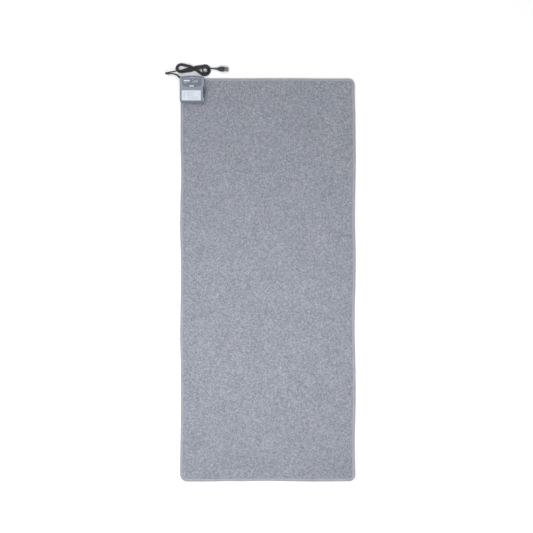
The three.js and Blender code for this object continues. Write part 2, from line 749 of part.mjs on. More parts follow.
function addCase() {
  addPart('lower_case', 'slate', lowerCase());
  addPart('upper_case', 'slate', upperCase());

  const panelBottom = PANEL_FLOOR + GAP;
  const panelTop = panelBottom + PANEL_THICKNESS;
  const panel = plate(panelOutline(0), panelBottom, panelTop, PANEL_CURVE_STEPS);
  addPart('control_panel', 'panel', shaped(panel, {
    cut: [lensHole(GAP, panelBottom - PAST, panelTop + PAST)],
  }));
  const labelBottom = CASE_HEIGHT - LABEL_RECESS + GAP;
  addPart('caution_label', 'paper', labelBox(0, labelBottom, labelBottom + LABEL_THICKNESS));
  addPart('rating_label', 'paper', ratingBox(0, RATING_SINK, RATING_SINK + LABEL_THICKNESS));

  addPart('power_lens', 'lens', shaped(lensHole(0, LENS_BOTTOM, panelTop + LENS_PROUD), {
    add: [lensHole(LENS_FLANGE, LENS_BOTTOM, LENS_BOTTOM + LENS_FLANGE)],
  }));
  const rim = LED_RADIUS + LED_RIM;
  const rimTop = ON_BOARD + 2 * LED_RIM;
  const domeTop = LENS_BOTTOM - LED_BELOW_LENS;
  addPart('power_led', 'lens', turned(LENS_X, LENS_Y, [
    [0, ON_BOARD], [rim, ON_BOARD], [rim, rimTop], [LED_RADIUS, rimTop],
    [LED_RADIUS, domeTop - LED_RADIUS], [LED_RADIUS * 0.7, domeTop - LED_RADIUS * 0.2],
    [0, domeTop],
  ]));
}

/** A screw driven up from below. */
function screwUp(x, y, head, radius, headBottom, headTop, tip) {
  return turned(x, y, [
    [0, headBottom], [head, headBottom], [head, headTop], [radius, headTop],
    [radius, tip - 1], [0, tip],
  ]);
}

/** A screw driven down from above. */
function screwDown(x, y, head, radius, headBottom, headTop, tip) {
  return turned(x, y, [
    [0, tip], [radius, tip + 1], [radius, headBottom], [head, headBottom],
    [head, headTop - 0.5], [head * 0.6, headTop], [0, headTop],
  ]);
}

function addCaseScrews() {
  CASE_SCREWS.forEach(([x, y], index) => {
    const headTop = CASE_SCREW_SEAT - GAP;
    const screw = screwUp(
      x, y, CASE_SCREW_HEAD, CASE_SCREW_RADIUS, CASE_SCREW_SINK, headTop, CASE_SCREW_TIP,
    );
    addPart(`case_screw_${index + 1}`, 'steel', screw);
  });
  BOARD_SCREWS.forEach(([x, y], index) => {
    const screw = screwDown(
      x, y, SMALL_SCREW_HEAD, SMALL_SCREW_RADIUS,
      ON_BOARD, ON_BOARD + SMALL_SCREW_RISE, BOARD_SCREW_TIP,
    );
    addPart(`board_screw_${index + 1}`, 'steel', screw);
  });
}

// --- Sliding temperature control --------------------------------------------------------------

function addTemperatureSlide() {
  const stem = STEM_THICKNESS / 2;
  const bodyRight = BOARD.right - SWITCH_INSET;
  const slotLeft = bodyRight - SLOT_DEPTH;
  const leverEnd = bodyRight + LEVER_REACH;
  const slotHalf = STEM_SWEEP + SLOT_SPARE;
  const slot = (left, end) => block(
    left, end, SLIDE_Y - slotHalf, SLIDE_Y + slotHalf,
    SLIDE_HEIGHT - stem - GAP, SLIDE_HEIGHT + stem + GAP,
  );
  const tongue = (left, end) => block(
    left, end, SLIDE_Y - STEM_WIDTH / 2, SLIDE_Y + STEM_WIDTH / 2,
    SLIDE_HEIGHT - stem, SLIDE_HEIGHT + stem,
  );
  const body = block(
    bodyRight - SWITCH_WIDTH, bodyRight, SLIDE_Y - SWITCH_HALF, SLIDE_Y + SWITCH_HALF,
    ON_BOARD, SLIDE_HEIGHT + SWITCH_LIP,
  );
  addPart('slide_switch_body', 'black', shaped(body, {
    cut: [slot(slotLeft, bodyRight + PAST)],
  }));
  addPart('slide_lever', 'steel', tongue(slotLeft + GAP, leverEnd));

  const bezelBack = CASE_RIGHT - BEZEL_DEPTH + GAP;
  const bezelFace = CASE_RIGHT - BEZEL_SINK;
  const faceHalf = BEZEL_HALF - GAP;
  const flangeHalf = BEZEL_HALF + BEZEL_FLANGE;
  const bezel = block(
    bezelBack, bezelFace, SLIDE_Y - faceHalf, SLIDE_Y + faceHalf,
    BEZEL_BOTTOM + GAP, CASE_HEIGHT - BEZEL_BELOW_TOP,
  );
  addPart('slide_bezel', 'black', shaped(bezel, {
    add: [block(
      bezelBack, CASE_RIGHT - CASE_WALL - GAP, SLIDE_Y - flangeHalf, SLIDE_Y + flangeHalf,
      BEZEL_BOTTOM + GAP, ROOF_BOTTOM - GAP,
    )],
    cut: [slot(bezelBack - PAST, CASE_RIGHT + PAST)],
  }));

  const capLeft = bezelFace + GAP;
  const cap = block(
    capLeft, capLeft + KNOB_REACH, SLIDE_Y - KNOB_WIDTH / 2, SLIDE_Y + KNOB_WIDTH / 2,
    BEZEL_BOTTOM + KNOB_ABOVE_BEZEL, CASE_HEIGHT - KNOB_BELOW_TOP,
  );
  const knobStem = tongue(leverEnd + GAP, capLeft + PAST);
  addPart('temperature_knob', 'black', shaped(cap, { add: [knobStem] }));
}

// --- Circuit board ---------------------------------------------------------------------------

function heatsink(left, near) {
  const { width, depth, back, fins, finPitch, fin, finInset } = HEATSINK;
  const plates = [];
  for (let index = 0; index < fins; index += 1) {
    const x = left + finInset + index * finPitch;
    plates.push(block(x, x + fin, near, near + depth - back / 2, ON_BOARD + PAST, TALL_TOP));
  }
  const wall = block(left, left + width, near + depth - back, near + depth, ON_BOARD, TALL_TOP);
  return shaped(wall, { add: plates });
}

/** The component bolted to the heatsink: a thick body on a taller metal tab. */
function triac(left, near) {
  const { width, body, tab, tabRise } = TRIAC;
  const thick = block(left, left + width, near, near + body, ON_BOARD, TALL_TOP - tabRise);
  return shaped(thick, { add: [block(left, left + width, near, near + tab, ON_BOARD, TALL_TOP)] });
}

function addBoard() {
  const board = block(BOARD.left, BOARD.right, BOARD.foot, BOARD.head, BOARD_HEIGHT, BOARD_TOP);
  addPart('circuit_board', 'board', shaped(board, {
    cut: BOARD_SCREWS.map(([x, y]) => rod(
      x, y, SMALL_SCREW_RADIUS + GAP, BOARD_HEIGHT - PAST, BOARD_TOP + PAST,
    )),
  }));

  const sinkLeft = BOARD.left + HEATSINK.left;
  const sinkNear = BOARD.foot + HEATSINK.foot;
  addPart('heatsink', 'steel', heatsink(sinkLeft, sinkNear));
  addPart('triac', 'black', triac(sinkLeft + TRIAC.aside, sinkNear + HEATSINK.depth + GAP));

  const chipLeft = BOARD.left + CHIP.left;
  const chipNear = BOARD.foot + CHIP.foot;
  addPart('control_chip', 'black', block(
    chipLeft, chipLeft + CHIP.width, chipNear, chipNear + CHIP.length,
    ON_BOARD, ON_BOARD + CHIP.height,
  ));
  const filmLeft = BOARD.right - FILM_CAPACITOR.right;
  const filmNear = BOARD.foot + FILM_CAPACITOR.foot;
  addPart('capacitor_1', 'wire', block(
    filmLeft, filmLeft + FILM_CAPACITOR.width, filmNear, filmNear + FILM_CAPACITOR.length,
    ON_BOARD, TALL_TOP,
  ));
  addPart('capacitor_2', 'black', rod(
    BOARD.left + ROUND_CAPACITOR.left, BOARD.foot + ROUND_CAPACITOR.foot, ROUND_CAPACITOR.radius,
    ON_BOARD, TALL_TOP, 16,
  ));

  const { cap, glass, capLength, length } = FUSE;
  const fuseRoot = at(BOARD.right - FUSE.right, BOARD.head - FUSE.head, ON_BOARD + FUSE.lift);
  addPart('fuse', 'brass', turnedAlong(fuseRoot, at(1, 0, 0), [
    [0, 0], [cap, 0], [cap, capLength], [glass, capLength],
    [glass, length - capLength], [cap, length - capLength], [cap, length], [0, length],
  ], 12));

  const terminalFar = BOARD.head - TERMINALS.head;
  addPart('terminal_block', 'panel', block(
    TERMINAL_LEFT, TERMINAL_LEFT + TERMINALS.width, terminalFar - TERMINALS.length, terminalFar,
    ON_BOARD, TALL_TOP - TERMINALS.below,
  ));
}

// --- Mains lead inside the case ---------------------------------------------------------------

function addInnerLead() {
  const flangeEnd = RELIEF_INNER + RELIEF_FLANGE_THICKNESS;
  addPart('strain_relief', 'black', turnedAlong(RELIEF_ROOT, RELIEF_AXIS, [
    [0, RELIEF_INNER], [RELIEF_FLANGE, RELIEF_INNER], [RELIEF_FLANGE, flangeEnd],
    [RELIEF_NECK, flangeEnd], [RELIEF_NECK, 1], [RELIEF_COLLAR, 1], [RELIEF_COLLAR, 2.6],
    [4.4, 7], [RELIEF_TIP, RELIEF_REACH], [0, RELIEF_REACH],
  ]));

  const innerStart = RELIEF_ROOT.clone().addScaledVector(RELIEF_AXIS, RELIEF_INNER - GAP);
  const sheathEnd = CLAMP_X + CLAMP_WIDTH / 2 + 5;
  const sheath = [
    innerStart,
    innerStart.clone().addScaledVector(RELIEF_AXIS, -3),
    at(CLAMP_X - CLAMP_WIDTH / 2 - 2, CLAMP_Y + 0.6, CORD_HEIGHT),
    at(CLAMP_X - CLAMP_WIDTH / 2, CLAMP_Y, CORD_HEIGHT),
    at(sheathEnd, CLAMP_Y, CORD_HEIGHT),
  ];
  addPart('inner_lead', 'black', wire(sheath, CORD_RADIUS, 10));

  [['lead_live', 1, 0.75], ['lead_neutral', -1, 0.25]].forEach(([name, side, share]) => {
    const x = TERMINAL_LEFT + share * TERMINALS.width;
    const aside = (side * CORE_SPACING) / 2;
    addPart(name, side > 0 ? 'wire' : 'panel', wire([
      at(sheathEnd + GAP, CLAMP_Y + aside, CORD_HEIGHT),
      at(sheathEnd + 3, CLAMP_Y + aside, CORD_HEIGHT + 0.5),
      at(x - 1.5, CLAMP_Y - 3 + aside, ON_BOARD + 2),
      at(x, CLAMP_Y - 7 + aside, ON_BOARD + 5),
      at(x, BOARD.head - TERMINALS.head + GAP, ON_BOARD + 5),
    ], CORE_RADIUS));
  });

  const half = CLAMP_WIDTH / 2;
  const top = CORD_HEIGHT + CORD_RADIUS + CLAMP_BRIDGE;
  const holes = [-1, 1].map((side) => CLAMP_Y + (side * CLAMP_SCREW_SPACING) / 2);
  const channelHalf = CORD_RADIUS + GAP;
  const channel = block(
    CLAMP_X - half - PAST, CLAMP_X + half + PAST, CLAMP_Y - channelHalf, CLAMP_Y + channelHalf,
    0, CORD_HEIGHT + channelHalf,
  );
  const bores = holes.map(
    (y) => rod(CLAMP_X, y, SMALL_SCREW_RADIUS + GAP, CASE_SPLIT - PAST, top + PAST),
  );
  const bar = block(
    CLAMP_X - half, CLAMP_X + half, CLAMP_Y - CLAMP_REACH, CLAMP_Y + CLAMP_REACH, CASE_SPLIT, top,
  );
  addPart('cord_clamp', 'panel', shaped(bar, { cut: [channel, ...bores] }));
  holes.forEach((y, index) => {
    addPart(`clamp_screw_${index + 1}`, 'steel', screwDown(
      CLAMP_X, y, SMALL_SCREW_HEAD, SMALL_SCREW_RADIUS,
      top + GAP, top + GAP + SMALL_SCREW_RISE, CLAMP_SCREW_TIP,
    ));
  });
}

// --- Mains lead outside the case --------------------------------------------------------------

// Where the free lead runs, from the strain relief to the bundle: down to the floor, round a
// hairpin that stands on edge, and back on to the bundle. Places are from the case's head corner.
const LEAD_FROM_CORNER = [
  [-14.6, 9.6, 9.7], [-18.6, 12.3, 8.6], [-23.8, 14.6, 6.8], [-30.4, 16.1, 5.1],
  [-37.6, 16.8, 4.1], [-46.0, 16.6, 3.8], [-54.4, 16.0, 4.1], [-61.2, 15.6, 7.6],
  [-64.2, 15.8, 15.0], [-61.4, 16.9, 22.4], [-54.4, 18.2, 26.1], [-45.4, 20.0, 25.9],
  [-36.8, 21.8, 23.5], [-29.2, 23.6, 20.0], [-22.8, 25.4, 16.8],
];

// The bundle: a figure of eight with a lobe at each end and a narrow waist, under one tie.
const HANK = {
  left: { x: 5.4, y: 41, rx: 26.4, ry: 22 },
  right: { x: 111.4, y: 32.2, rx: 26, ry: 26.8 },
  waist: { x: 61.4, y: 39, half: 12 },
  flare: 2,
};
const PLUG_ROOT = at(154.4, 38.6, PLUG_HEIGHT / 2);

function hankOutline() {
  const { left, right, waist, flare } = HANK;
  const outline = new THREE.Shape();
  outline.moveTo(waist.x - TIE_WIDTH, waist.y - waist.half);
  outline.lineTo(waist.x + TIE_WIDTH, waist.y - waist.half);
  outline.absellipse(right.x, right.y, right.rx, right.ry, -flare, flare, false);
  outline.lineTo(waist.x + TIE_WIDTH, waist.y + waist.half);
  outline.lineTo(waist.x - TIE_WIDTH, waist.y + waist.half);
  outline.absellipse(left.x, left.y, left.rx, left.ry, Math.PI - flare, Math.PI + flare, false);
  outline.closePath();
  return outline;
}

/** A band round the waist: what lies between an outer and an inner box, as wide as the tie. */
function tieBand(spare, top) {
  const { x, y, half } = HANK.waist;
  const width = TIE_WIDTH / 2 + spare;
  const outer = half + TIE_THICKNESS;
  const inner = half - spare;
  const lift = TIE_THICKNESS + spare;
  const band = block(x - width, x + width, y - outer - spare, y + outer + spare, -spare, top);
  const hole = block(
    x - width - PAST, x + width + PAST, y - inner, y + inner, lift, HANK_HEIGHT - spare,
  );
  return shaped(band, { cut: [hole] });
}

function plugBody() {
  const neckEnd = PLUG_LENGTH / 2;
  const inGrip = neckEnd + 2 * PAST;
  const [tip, middle, root] = PLUG_NECK;
  const neck = turnedAlong(at(0, 0, 0), at(1, 0, 0), [
    [0, 0], [tip, 0], [middle, neckEnd * 0.7], [root, inGrip], [0, inGrip],
  ], 16);
  const half = PLUG_WIDTH / 2;
  const outline = new THREE.Shape();
  outline.moveTo(neckEnd - PLUG_EDGE, -half / 2);
  outline.quadraticCurveTo(neckEnd, -half, neckEnd + PLUG_SHOULDER, -half);
  outline.lineTo(PLUG_LENGTH, -half);
  outline.lineTo(PLUG_LENGTH, half);
  outline.lineTo(neckEnd + PLUG_SHOULDER, half);
  outline.quadraticCurveTo(neckEnd, half, neckEnd - PLUG_EDGE, half / 2);
  outline.closePath();
  const grip = new THREE.ExtrudeGeometry(outline, {
    depth: PLUG_HEIGHT - 2 * PLUG_EDGE,
    bevelThickness: PLUG_EDGE,
    bevelSize: PLUG_EDGE,
    bevelOffset: -PLUG_EDGE,
    bevelSegments: 2,
    curveSegments: 4,
  }).translate(0, 0, -PLUG_HEIGHT / 2 + PLUG_EDGE);
  return shaped(grip, { add: [neck] });
}

function bladeCover() {
  const start = PLUG_LENGTH + GAP;
  const end = start + BLADE_LENGTH + COVER_PAST_BLADE;
  const half = PLUG_WIDTH / 2 - COVER_WALL;
  const rise = BLADE_WIDTH / 2 + COVER_RISE;
  const innerHalf = half - COVER_WALL;
  const innerRise = rise - COVER_WALL;
  return shaped(block(start, end, -half, half, -rise, rise), {
    cut: [block(start - PAST, end - COVER_WALL, -innerHalf, innerHalf, -innerRise, innerRise)],
  });
}

function addCord() {
  const corner = new THREE.Group();
  corner.position.set(CASE_LEFT, CASE_HEAD, 0);
  model.add(corner);

  const tip = RELIEF_ROOT.clone().addScaledVector(RELIEF_AXIS, RELIEF_REACH + GAP);
  const start = tip.sub(corner.position);
  const lead = new THREE.CatmullRomCurve3([start, ...LEAD_FROM_CORNER.map((p) => at(...p))]);
  addPart('power_cord_lead', 'black', tube(lead, CORD_RADIUS, 8, 44), corner);

  const groove = tieBand(GAP, HANK_HEIGHT + TIE_THICKNESS + PAST);
  const bundle = plate(hankOutline(), 0, HANK_HEIGHT, 8);
  addPart('power_cord_hank', 'black', shaped(bundle, { cut: [groove] }), corner);
  addPart('cord_tie', 'black', tieBand(0, HANK_HEIGHT + TIE_THICKNESS), corner);

  const tailStart = at(HANK.right.x + HANK.right.rx + 2 * GAP, PLUG_ROOT.y, PLUG_ROOT.z);
  const tailEnd = PLUG_ROOT.clone().add(at(-GAP, 0, 0));
  addPart('power_cord_tail', 'black', wire([tailStart, tailEnd], CORD_RADIUS, 8), corner);

  const plug = new THREE.Group();
  plug.position.copy(PLUG_ROOT);
  plug.rotation.z = PLUG_TURN;
  corner.add(plug);
  addPart('plug_body', 'black', plugBody(), plug);
  [['plug_blade_left', 1], ['plug_blade_right', -1]].forEach(([name, side]) => {
    const y = (side * BLADE_SPACING) / 2;
    addPart(name, 'steel', block(
      PLUG_LENGTH + GAP, PLUG_LENGTH + GAP + BLADE_LENGTH,
      y - BLADE_THICKNESS / 2, y + BLADE_THICKNESS / 2, -BLADE_WIDTH / 2, BLADE_WIDTH / 2,
    ), plug);
  });
  addPart('blade_cover', 'clear', bladeCover(), plug);
}

addMat();
addHeatingWire();
addCase();
addCaseScrews();
addTemperatureSlide();
addBoard();
addInnerLead();
addCord();

// The origin is the bottom centre of the mat and its controller, without the free lead.
const right = HALF_WIDTH;
const left = Math.min(-HALF_WIDTH, CASE_LEFT);
const head = Math.max(HALF_LENGTH, CASE_HEAD + CASE_ARCH);
model.position.set(-(left + right) / 2, -(head - HALF_LENGTH) / 2, 0);
model.updateMatrixWorld(true);

const group = new THREE.Group();
group.add(model);

export default group;
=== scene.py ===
"""The looks of the electric heating mat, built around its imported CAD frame. Lengths are in metres."""

import json
import math

import bmesh
import bpy
import numpy as np
from mathutils import Matrix, Vector
from mathutils.geometry import convex_hull_2d


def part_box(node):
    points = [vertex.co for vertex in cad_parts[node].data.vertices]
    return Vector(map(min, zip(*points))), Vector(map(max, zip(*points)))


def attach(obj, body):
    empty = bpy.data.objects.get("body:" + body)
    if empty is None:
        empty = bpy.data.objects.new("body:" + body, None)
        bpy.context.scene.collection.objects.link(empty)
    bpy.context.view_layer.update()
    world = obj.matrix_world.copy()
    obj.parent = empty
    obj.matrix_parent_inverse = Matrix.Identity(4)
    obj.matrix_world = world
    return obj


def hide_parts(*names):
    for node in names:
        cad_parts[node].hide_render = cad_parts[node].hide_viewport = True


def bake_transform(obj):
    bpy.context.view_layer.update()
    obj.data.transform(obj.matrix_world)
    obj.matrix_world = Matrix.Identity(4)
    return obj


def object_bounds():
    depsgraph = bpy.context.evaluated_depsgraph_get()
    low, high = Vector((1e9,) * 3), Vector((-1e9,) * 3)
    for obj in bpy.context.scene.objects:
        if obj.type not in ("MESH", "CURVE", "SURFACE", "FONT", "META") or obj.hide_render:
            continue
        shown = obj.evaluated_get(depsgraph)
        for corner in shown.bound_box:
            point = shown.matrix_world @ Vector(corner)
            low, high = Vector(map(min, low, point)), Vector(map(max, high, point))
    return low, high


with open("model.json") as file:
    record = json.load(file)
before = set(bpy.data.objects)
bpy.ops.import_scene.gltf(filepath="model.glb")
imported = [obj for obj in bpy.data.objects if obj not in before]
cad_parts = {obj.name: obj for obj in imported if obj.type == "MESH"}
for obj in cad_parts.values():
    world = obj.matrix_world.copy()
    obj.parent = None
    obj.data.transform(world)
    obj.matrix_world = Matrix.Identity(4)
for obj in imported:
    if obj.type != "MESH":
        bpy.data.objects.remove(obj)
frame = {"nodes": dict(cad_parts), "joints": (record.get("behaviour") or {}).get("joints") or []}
cad_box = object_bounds()
MM = 0.001

# --- Places that come from the frame ---

CASE_LOW, CASE_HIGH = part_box("upper_case")
HANK_LOW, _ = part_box("power_cord_hank")
TAIL_LOW, TAIL_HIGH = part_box("power_cord_tail")
TIE_LOW, TIE_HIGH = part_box("cord_tie")
CORD_RADIUS = 3.2 * MM
CORD_DIAMETER = 2 * CORD_RADIUS
# The corner that the lead's points are measured from: the case's own, under its arched lip.
CASE_ARCH = 6 * MM
LEAD_CORNER = Vector((CASE_LOW.x, CASE_HIGH.y - CASE_ARCH, 0))


# --- Node materials ---

# How much brighter than 1 the studio light makes a white surface at the mat's middle.
STUDIO_LEVEL = 1.33


def srgb(red, green, blue):
    """The shader colour of a surface that the studio light makes look like this, 0 to 255."""
    def linear(value):
        value /= 255
        return value / 12.92 if value <= 0.04045 else ((value + 0.055) / 1.055) ** 2.4
    return (*(linear(value) / STUDIO_LEVEL for value in (red, green, blue)), 1.0)


class Finish:
    """A Principled material, with short helpers that put texture nodes in front of its sockets."""

    def __init__(self, name, colour=(0.5, 0.5, 0.5, 1.0), roughness=0.5, **sockets):
        self.material = bpy.data.materials.new(name)
        self.material.use_nodes = True
        self.tree = self.material.node_tree
        self.shader = self.tree.nodes["Principled BSDF"]
        for socket, value in {"Base Color": colour, "Roughness": roughness, **sockets}.items():
            self.shader.inputs[socket.replace("_", " ")].default_value = value

    def feed(self, node, inputs):
        """Sets a node's inputs to numbers and colours, or links them to other nodes' outputs."""
        for socket, source in inputs.items():
            if hasattr(source, "is_output"):
                self.tree.links.new(source, node.inputs[socket])
            else:
                node.inputs[socket].default_value = source

    def add(self, kind, inputs, output, **settings):
        """An output of a new node. Inputs and outputs go by name or by number."""
        node = self.tree.nodes.new("ShaderNode" + kind)
        for setting, value in settings.items():
            setattr(node, setting, value)
        self.feed(node, inputs)
        return node.outputs[output]

    def place(self, scale=(1, 1, 1), turn=(0, 0, 0)):
        """Object coordinates in metres, scaled and turned."""
        coordinates = self.add("TexCoord", {}, "Object")
        return self.add("Mapping", {"Vector": coordinates, "Scale": scale, "Rotation": turn}, "Vector")

    def attribute(self, name):
        return self.add("Attribute", {}, "Vector", attribute_name=name)

    def noise(self, scale, detail=2.0, rough=0.5, where=None, output="Fac", distortion=0.0):
        return self.add("TexNoise", {
            "Vector": where or self.place(), "Scale": scale, "Detail": detail, "Roughness": rough,
            "Distortion": distortion,
        }, output)

    def cells(self, scale, where, randomness=1.0):
        inputs = {"Vector": where, "Scale": scale, "Randomness": randomness}
        return self.add("TexVoronoi", inputs, "Distance")

    def wave(self, scale, where=None, direction="X", distortion=0.0):
        inputs = {"Vector": where or self.place(), "Scale": scale, "Distortion": distortion}
        return self.add("TexWave", inputs, "Fac", bands_direction=direction)

    def math(self, operation, *values):
        return self.add("Math", dict(enumerate(values)), 0, operation=operation)

    def rescale(self, value, low, high, to_low=0.0, to_high=1.0):
        return self.add("MapRange", {
            "Value": value, "From Min": low, "From Max": high, "To Min": to_low, "To Max": to_high,
        }, "Result")

    def ramp(self, value, *stops):
        """A colour ramp of (position, colour) stops."""
        colour = self.add("ValToRGB", {"Fac": value}, "Color")
        elements = colour.node.color_ramp.elements
        while len(elements) < len(stops):
            elements.new(0.5)
        for element, (position, shade) in zip(elements, stops):
            element.position = position
            element.color = shade
        return colour

    def mix(self, share, first, second, blend="MIX"):
        """Two colours mixed: sockets 6 and 7 are the node's colours, and 2 is the colour it gives."""
        inputs = {"Factor": share, 6: first, 7: second}
        return self.add("Mix", inputs, 2, data_type="RGBA", blend_type=blend)

    def colour(self, source):
        self.feed(self.shader, {"Base Color": source})

    def colours(self, pattern, *stops):
        """Colours the surface by a pattern, through a ramp of (position, colour) stops."""
        self.colour(self.ramp(pattern, *stops))

    def roughness(self, source):
        self.feed(self.shader, {"Roughness": source})

    def relief(self, height, distance, strength=1.0, before=None):
        """Bump from a height, which is 0 to 1, over a distance in metres."""
        inputs = {"Strength": strength, "Distance": distance, "Height": height}
        if before is not None:
            inputs["Normal"] = before
        normal = self.add("Bump", inputs, "Normal")
        self.feed(self.shader, {"Normal": normal})
        return normal


def scaled(colour, share, more=0.0):
    """A colour made lighter or darker."""
    return (*(min(1.0, value * share + more) for value in colour[:3]), 1.0)


def mottled(name, shades, noise, grain=None, **sockets):
    """Two (position, colour) shades mixed by a noise of some scale and detail, and a relief by a
    finer noise of some scale and height."""
    finish = Finish(name, **sockets)
    finish.colours(finish.noise(*noise), *shades)
    if grain:
        finish.relief(finish.noise(grain[0], 2), grain[1])
    return finish.material


def black_cord_finish():
    """Soft black PVC: a broad change of shade and gloss, and a fine grain."""
    finish = Finish("cord_black", roughness=0.42)
    broad = finish.noise(40, 4)
    finish.colours(broad, (0.3, srgb(33, 35, 44)), (0.7, srgb(44, 46, 56)))
    finish.roughness(finish.rescale(broad, 0.3, 0.7, 0.36, 0.52))
    finish.relief(finish.noise(900, 3), 0.06 * MM)
    return finish.material


# --- Mesh helpers ---

def in_scene(name, data, material=None):
    """A new object with its data, linked to the scene."""
    piece = bpy.data.objects.new(name, data)
    bpy.context.scene.collection.objects.link(piece)
    if material:
        data.materials.append(material)
    return piece


def new_object(name, vertices, faces, material, smooth=True, sharp=None):
    """A mesh object. Edges that turn by more than sharp, in degrees, stay sharp."""
    mesh = bpy.data.meshes.new(name)
    mesh.from_pydata([tuple(v) for v in vertices], [], [tuple(f) for f in faces])
    mesh.validate()
    mesh.update()
    mesh.polygons.foreach_set("use_smooth", [smooth] * len(mesh.polygons))
    piece = in_scene(name, mesh, material)
    if sharp:
        mesh.set_sharp_from_angle(angle=math.radians(sharp))
    return piece


def set_vectors(mesh, name, values):
    """Stores a vector for each vertex, for the material to read."""
    held = mesh.attributes.new(name, "FLOAT_VECTOR", "POINT")
    held.data.foreach_set("vector", values.astype(np.float32).ravel())


def round_steps(sides):
    """The cosine and sine of each corner of a regular polygon."""
    angles = [2 * math.pi * k / sides for k in range(sides)]
    return [(math.cos(angle), math.sin(angle)) for angle in angles]


def ring_faces(rings, sides, first=0, flip=False, closed=False):
    """The faces of a tube made of rings of points: its quads, and a cap on each open end."""
    here = first + np.arange(rings * sides).reshape(rings, sides)
    beside = np.roll(here, -1, axis=1)
    ahead, diagonal = np.roll(here, -1, axis=0), np.roll(beside, -1, axis=0)
    quads = [here, ahead, diagonal, beside] if flip else [here, beside, diagonal, ahead]
    quads = np.stack(quads, axis=-1)
    if closed:
        return quads.reshape(-1, 4).tolist()
    caps = [here[0], here[-1][::-1]] if flip else [here[0][::-1], here[-1]]
    return quads[:-1].reshape(-1, 4).tolist() + [cap.tolist() for cap in caps]


def smooth_route(points, step):
    """A centripetal Catmull-Rom curve through the points, sampled about every step."""
    points = [Vector(p) for p in points]
    points = [2 * points[0] - points[1], *points, 2 * points[-1] - points[-2]]
    route = []
    for i in range(1, len(points) - 2):
        p0, p1, p2, p3 = points[i - 1:i + 3]
        t1 = math.sqrt((p1 - p0).length)
        t2 = t1 + math.sqrt((p2 - p1).length)
        t3 = t2 + math.sqrt((p3 - p2).length)
        count = max(1, round((p2 - p1).length / step))
        for k in range(count):
            t = t1 + (t2 - t1) * k / count
            a1 = p0.lerp(p1, t / t1)
            a2 = p1.lerp(p2, (t - t1) / (t2 - t1))
            a3 = p2.lerp(p3, (t - t2) / (t3 - t2))
            b1 = a1.lerp(a2, t / t2)
            b2 = a2.lerp(a3, (t - t1) / (t3 - t1))
            route.append(b1.lerp(b2, (t - t1) / (t2 - t1)))
    route.append(points[-2])
    return route


def adopt(piece, slot, *nodes, body="head"):
    """Gives a piece its body and hides the CAD nodes it stands for. Its slot is not used."""
    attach(piece, body)
    if nodes:
        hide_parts(*nodes)
    return piece


# --- Camera, floor and light ---

# The camera hangs over the mat and looks straight down, with the controller's end at the top.
LENS = 85
SENSOR = 36
VIEW_CENTRE = Vector((-0.0048, 0.0539, cad_box[1].z / 3))
VIEW_WIDTH = 2.381
FLOOR_HALF = 30.0

camera_data = bpy.data.cameras.new("camera")
camera_data.lens = LENS
camera_data.sensor_width = SENSOR
camera_data.clip_end = 100
camera = in_scene("camera", camera_data)
camera.location = VIEW_CENTRE + Vector((0, 0, VIEW_WIDTH * LENS / SENSOR))
bpy.context.scene.camera = camera


def add_floor():
    shades = (0.3, (0.93, 0.93, 0.93, 1)), (0.7, (0.95, 0.95, 0.95, 1))
    white = mottled("floor_white", shades, (1.5, 3), roughness=0.9)
    corners = [(x * FLOOR_HALF, y * FLOOR_HALF, 0) for x, y in ((-1, -1), (1, -1), (1, 1), (-1, 1))]
    floor = new_object("floor", corners, [(0, 1, 2, 3)], white, smooth=False)
    floor.location.z = -0.2 * MM


def add_lamp(name, kind, place, target, energy, **settings):
    data = bpy.data.lights.new(name, kind)
    data.energy = energy
    for setting, value in settings.items():
        setattr(data, setting, value)
    lamp = in_scene(name, data)
    lamp.location = place
    direction = Vector(target) - Vector(place)
    lamp.rotation_euler = direction.to_track_quat("-Z", "Y").to_euler()
    lamp.visible_camera = False


def add_light():
    """An even white room, a soft lamp over the foot half, and a weak one from the head's left."""
    world = bpy.data.worlds.new("studio")
    world.use_nodes = True
    background = world.node_tree.nodes["Background"]
    background.inputs["Color"].default_value = (1.0, 1.0, 1.0, 1.0)
    background.inputs["Strength"].default_value = 0.76
    bpy.context.scene.world = world
    add_lamp("overhead", "AREA", (-0.22, -0.38, 1.6), (-0.22, -0.38, 0), 22, shape="SQUARE", size=1.2)
    add_lamp("key", "SUN", (-2.0, 2.2, 3.0), (0, 0, 0), 0.75, angle=math.radians(25))
    bpy.context.scene.view_settings.view_transform = "Standard"


add_floor()
add_light()

# --- Mains cord ---

# The free lead's points in millimetres, from the strain relief on: down to the floor, round a
# hairpin that stands on edge, back over the left lobe's outer turns and down inside it. The
# first point is the cord's exit.
LEAD_FROM_CORNER = [
    (-11.81, 7.42, 9.85), (-14.6, 9.6, 9.7), (-18.6, 12.3, 8.6), (-23.8, 14.6, 6.8),
    (-30.4, 16.1, 5.1), (-37.6, 16.8, 4.1), (-46.0, 16.6, 3.8), (-54.4, 16.0, 4.1),
    (-61.2, 15.6, 7.6), (-64.2, 15.8, 15.0), (-61.4, 16.9, 22.4), (-54.4, 18.2, 26.1),
    (-45.4, 20.0, 25.9), (-36.8, 21.8, 23.5), (-29.2, 23.6, 20.0), (-22.8, 25.4, 16.8),
    (-15.5, 27.2, 14.4), (-6.0, 29.0, 12.4), (5.0, 31.0, 10.6), (17.0, 34.2, 8.5), (30.0, 38.6, 5.0),
]
LEAD_ROUTE = [LEAD_CORNER + Vector(p) * MM for p in LEAD_FROM_CORNER]
LAYER = CORD_DIAMETER + 0.1 * MM
# The headings in degrees of the runs that go up and down to the right of the waist.
RISING = 20
FALLING = 150
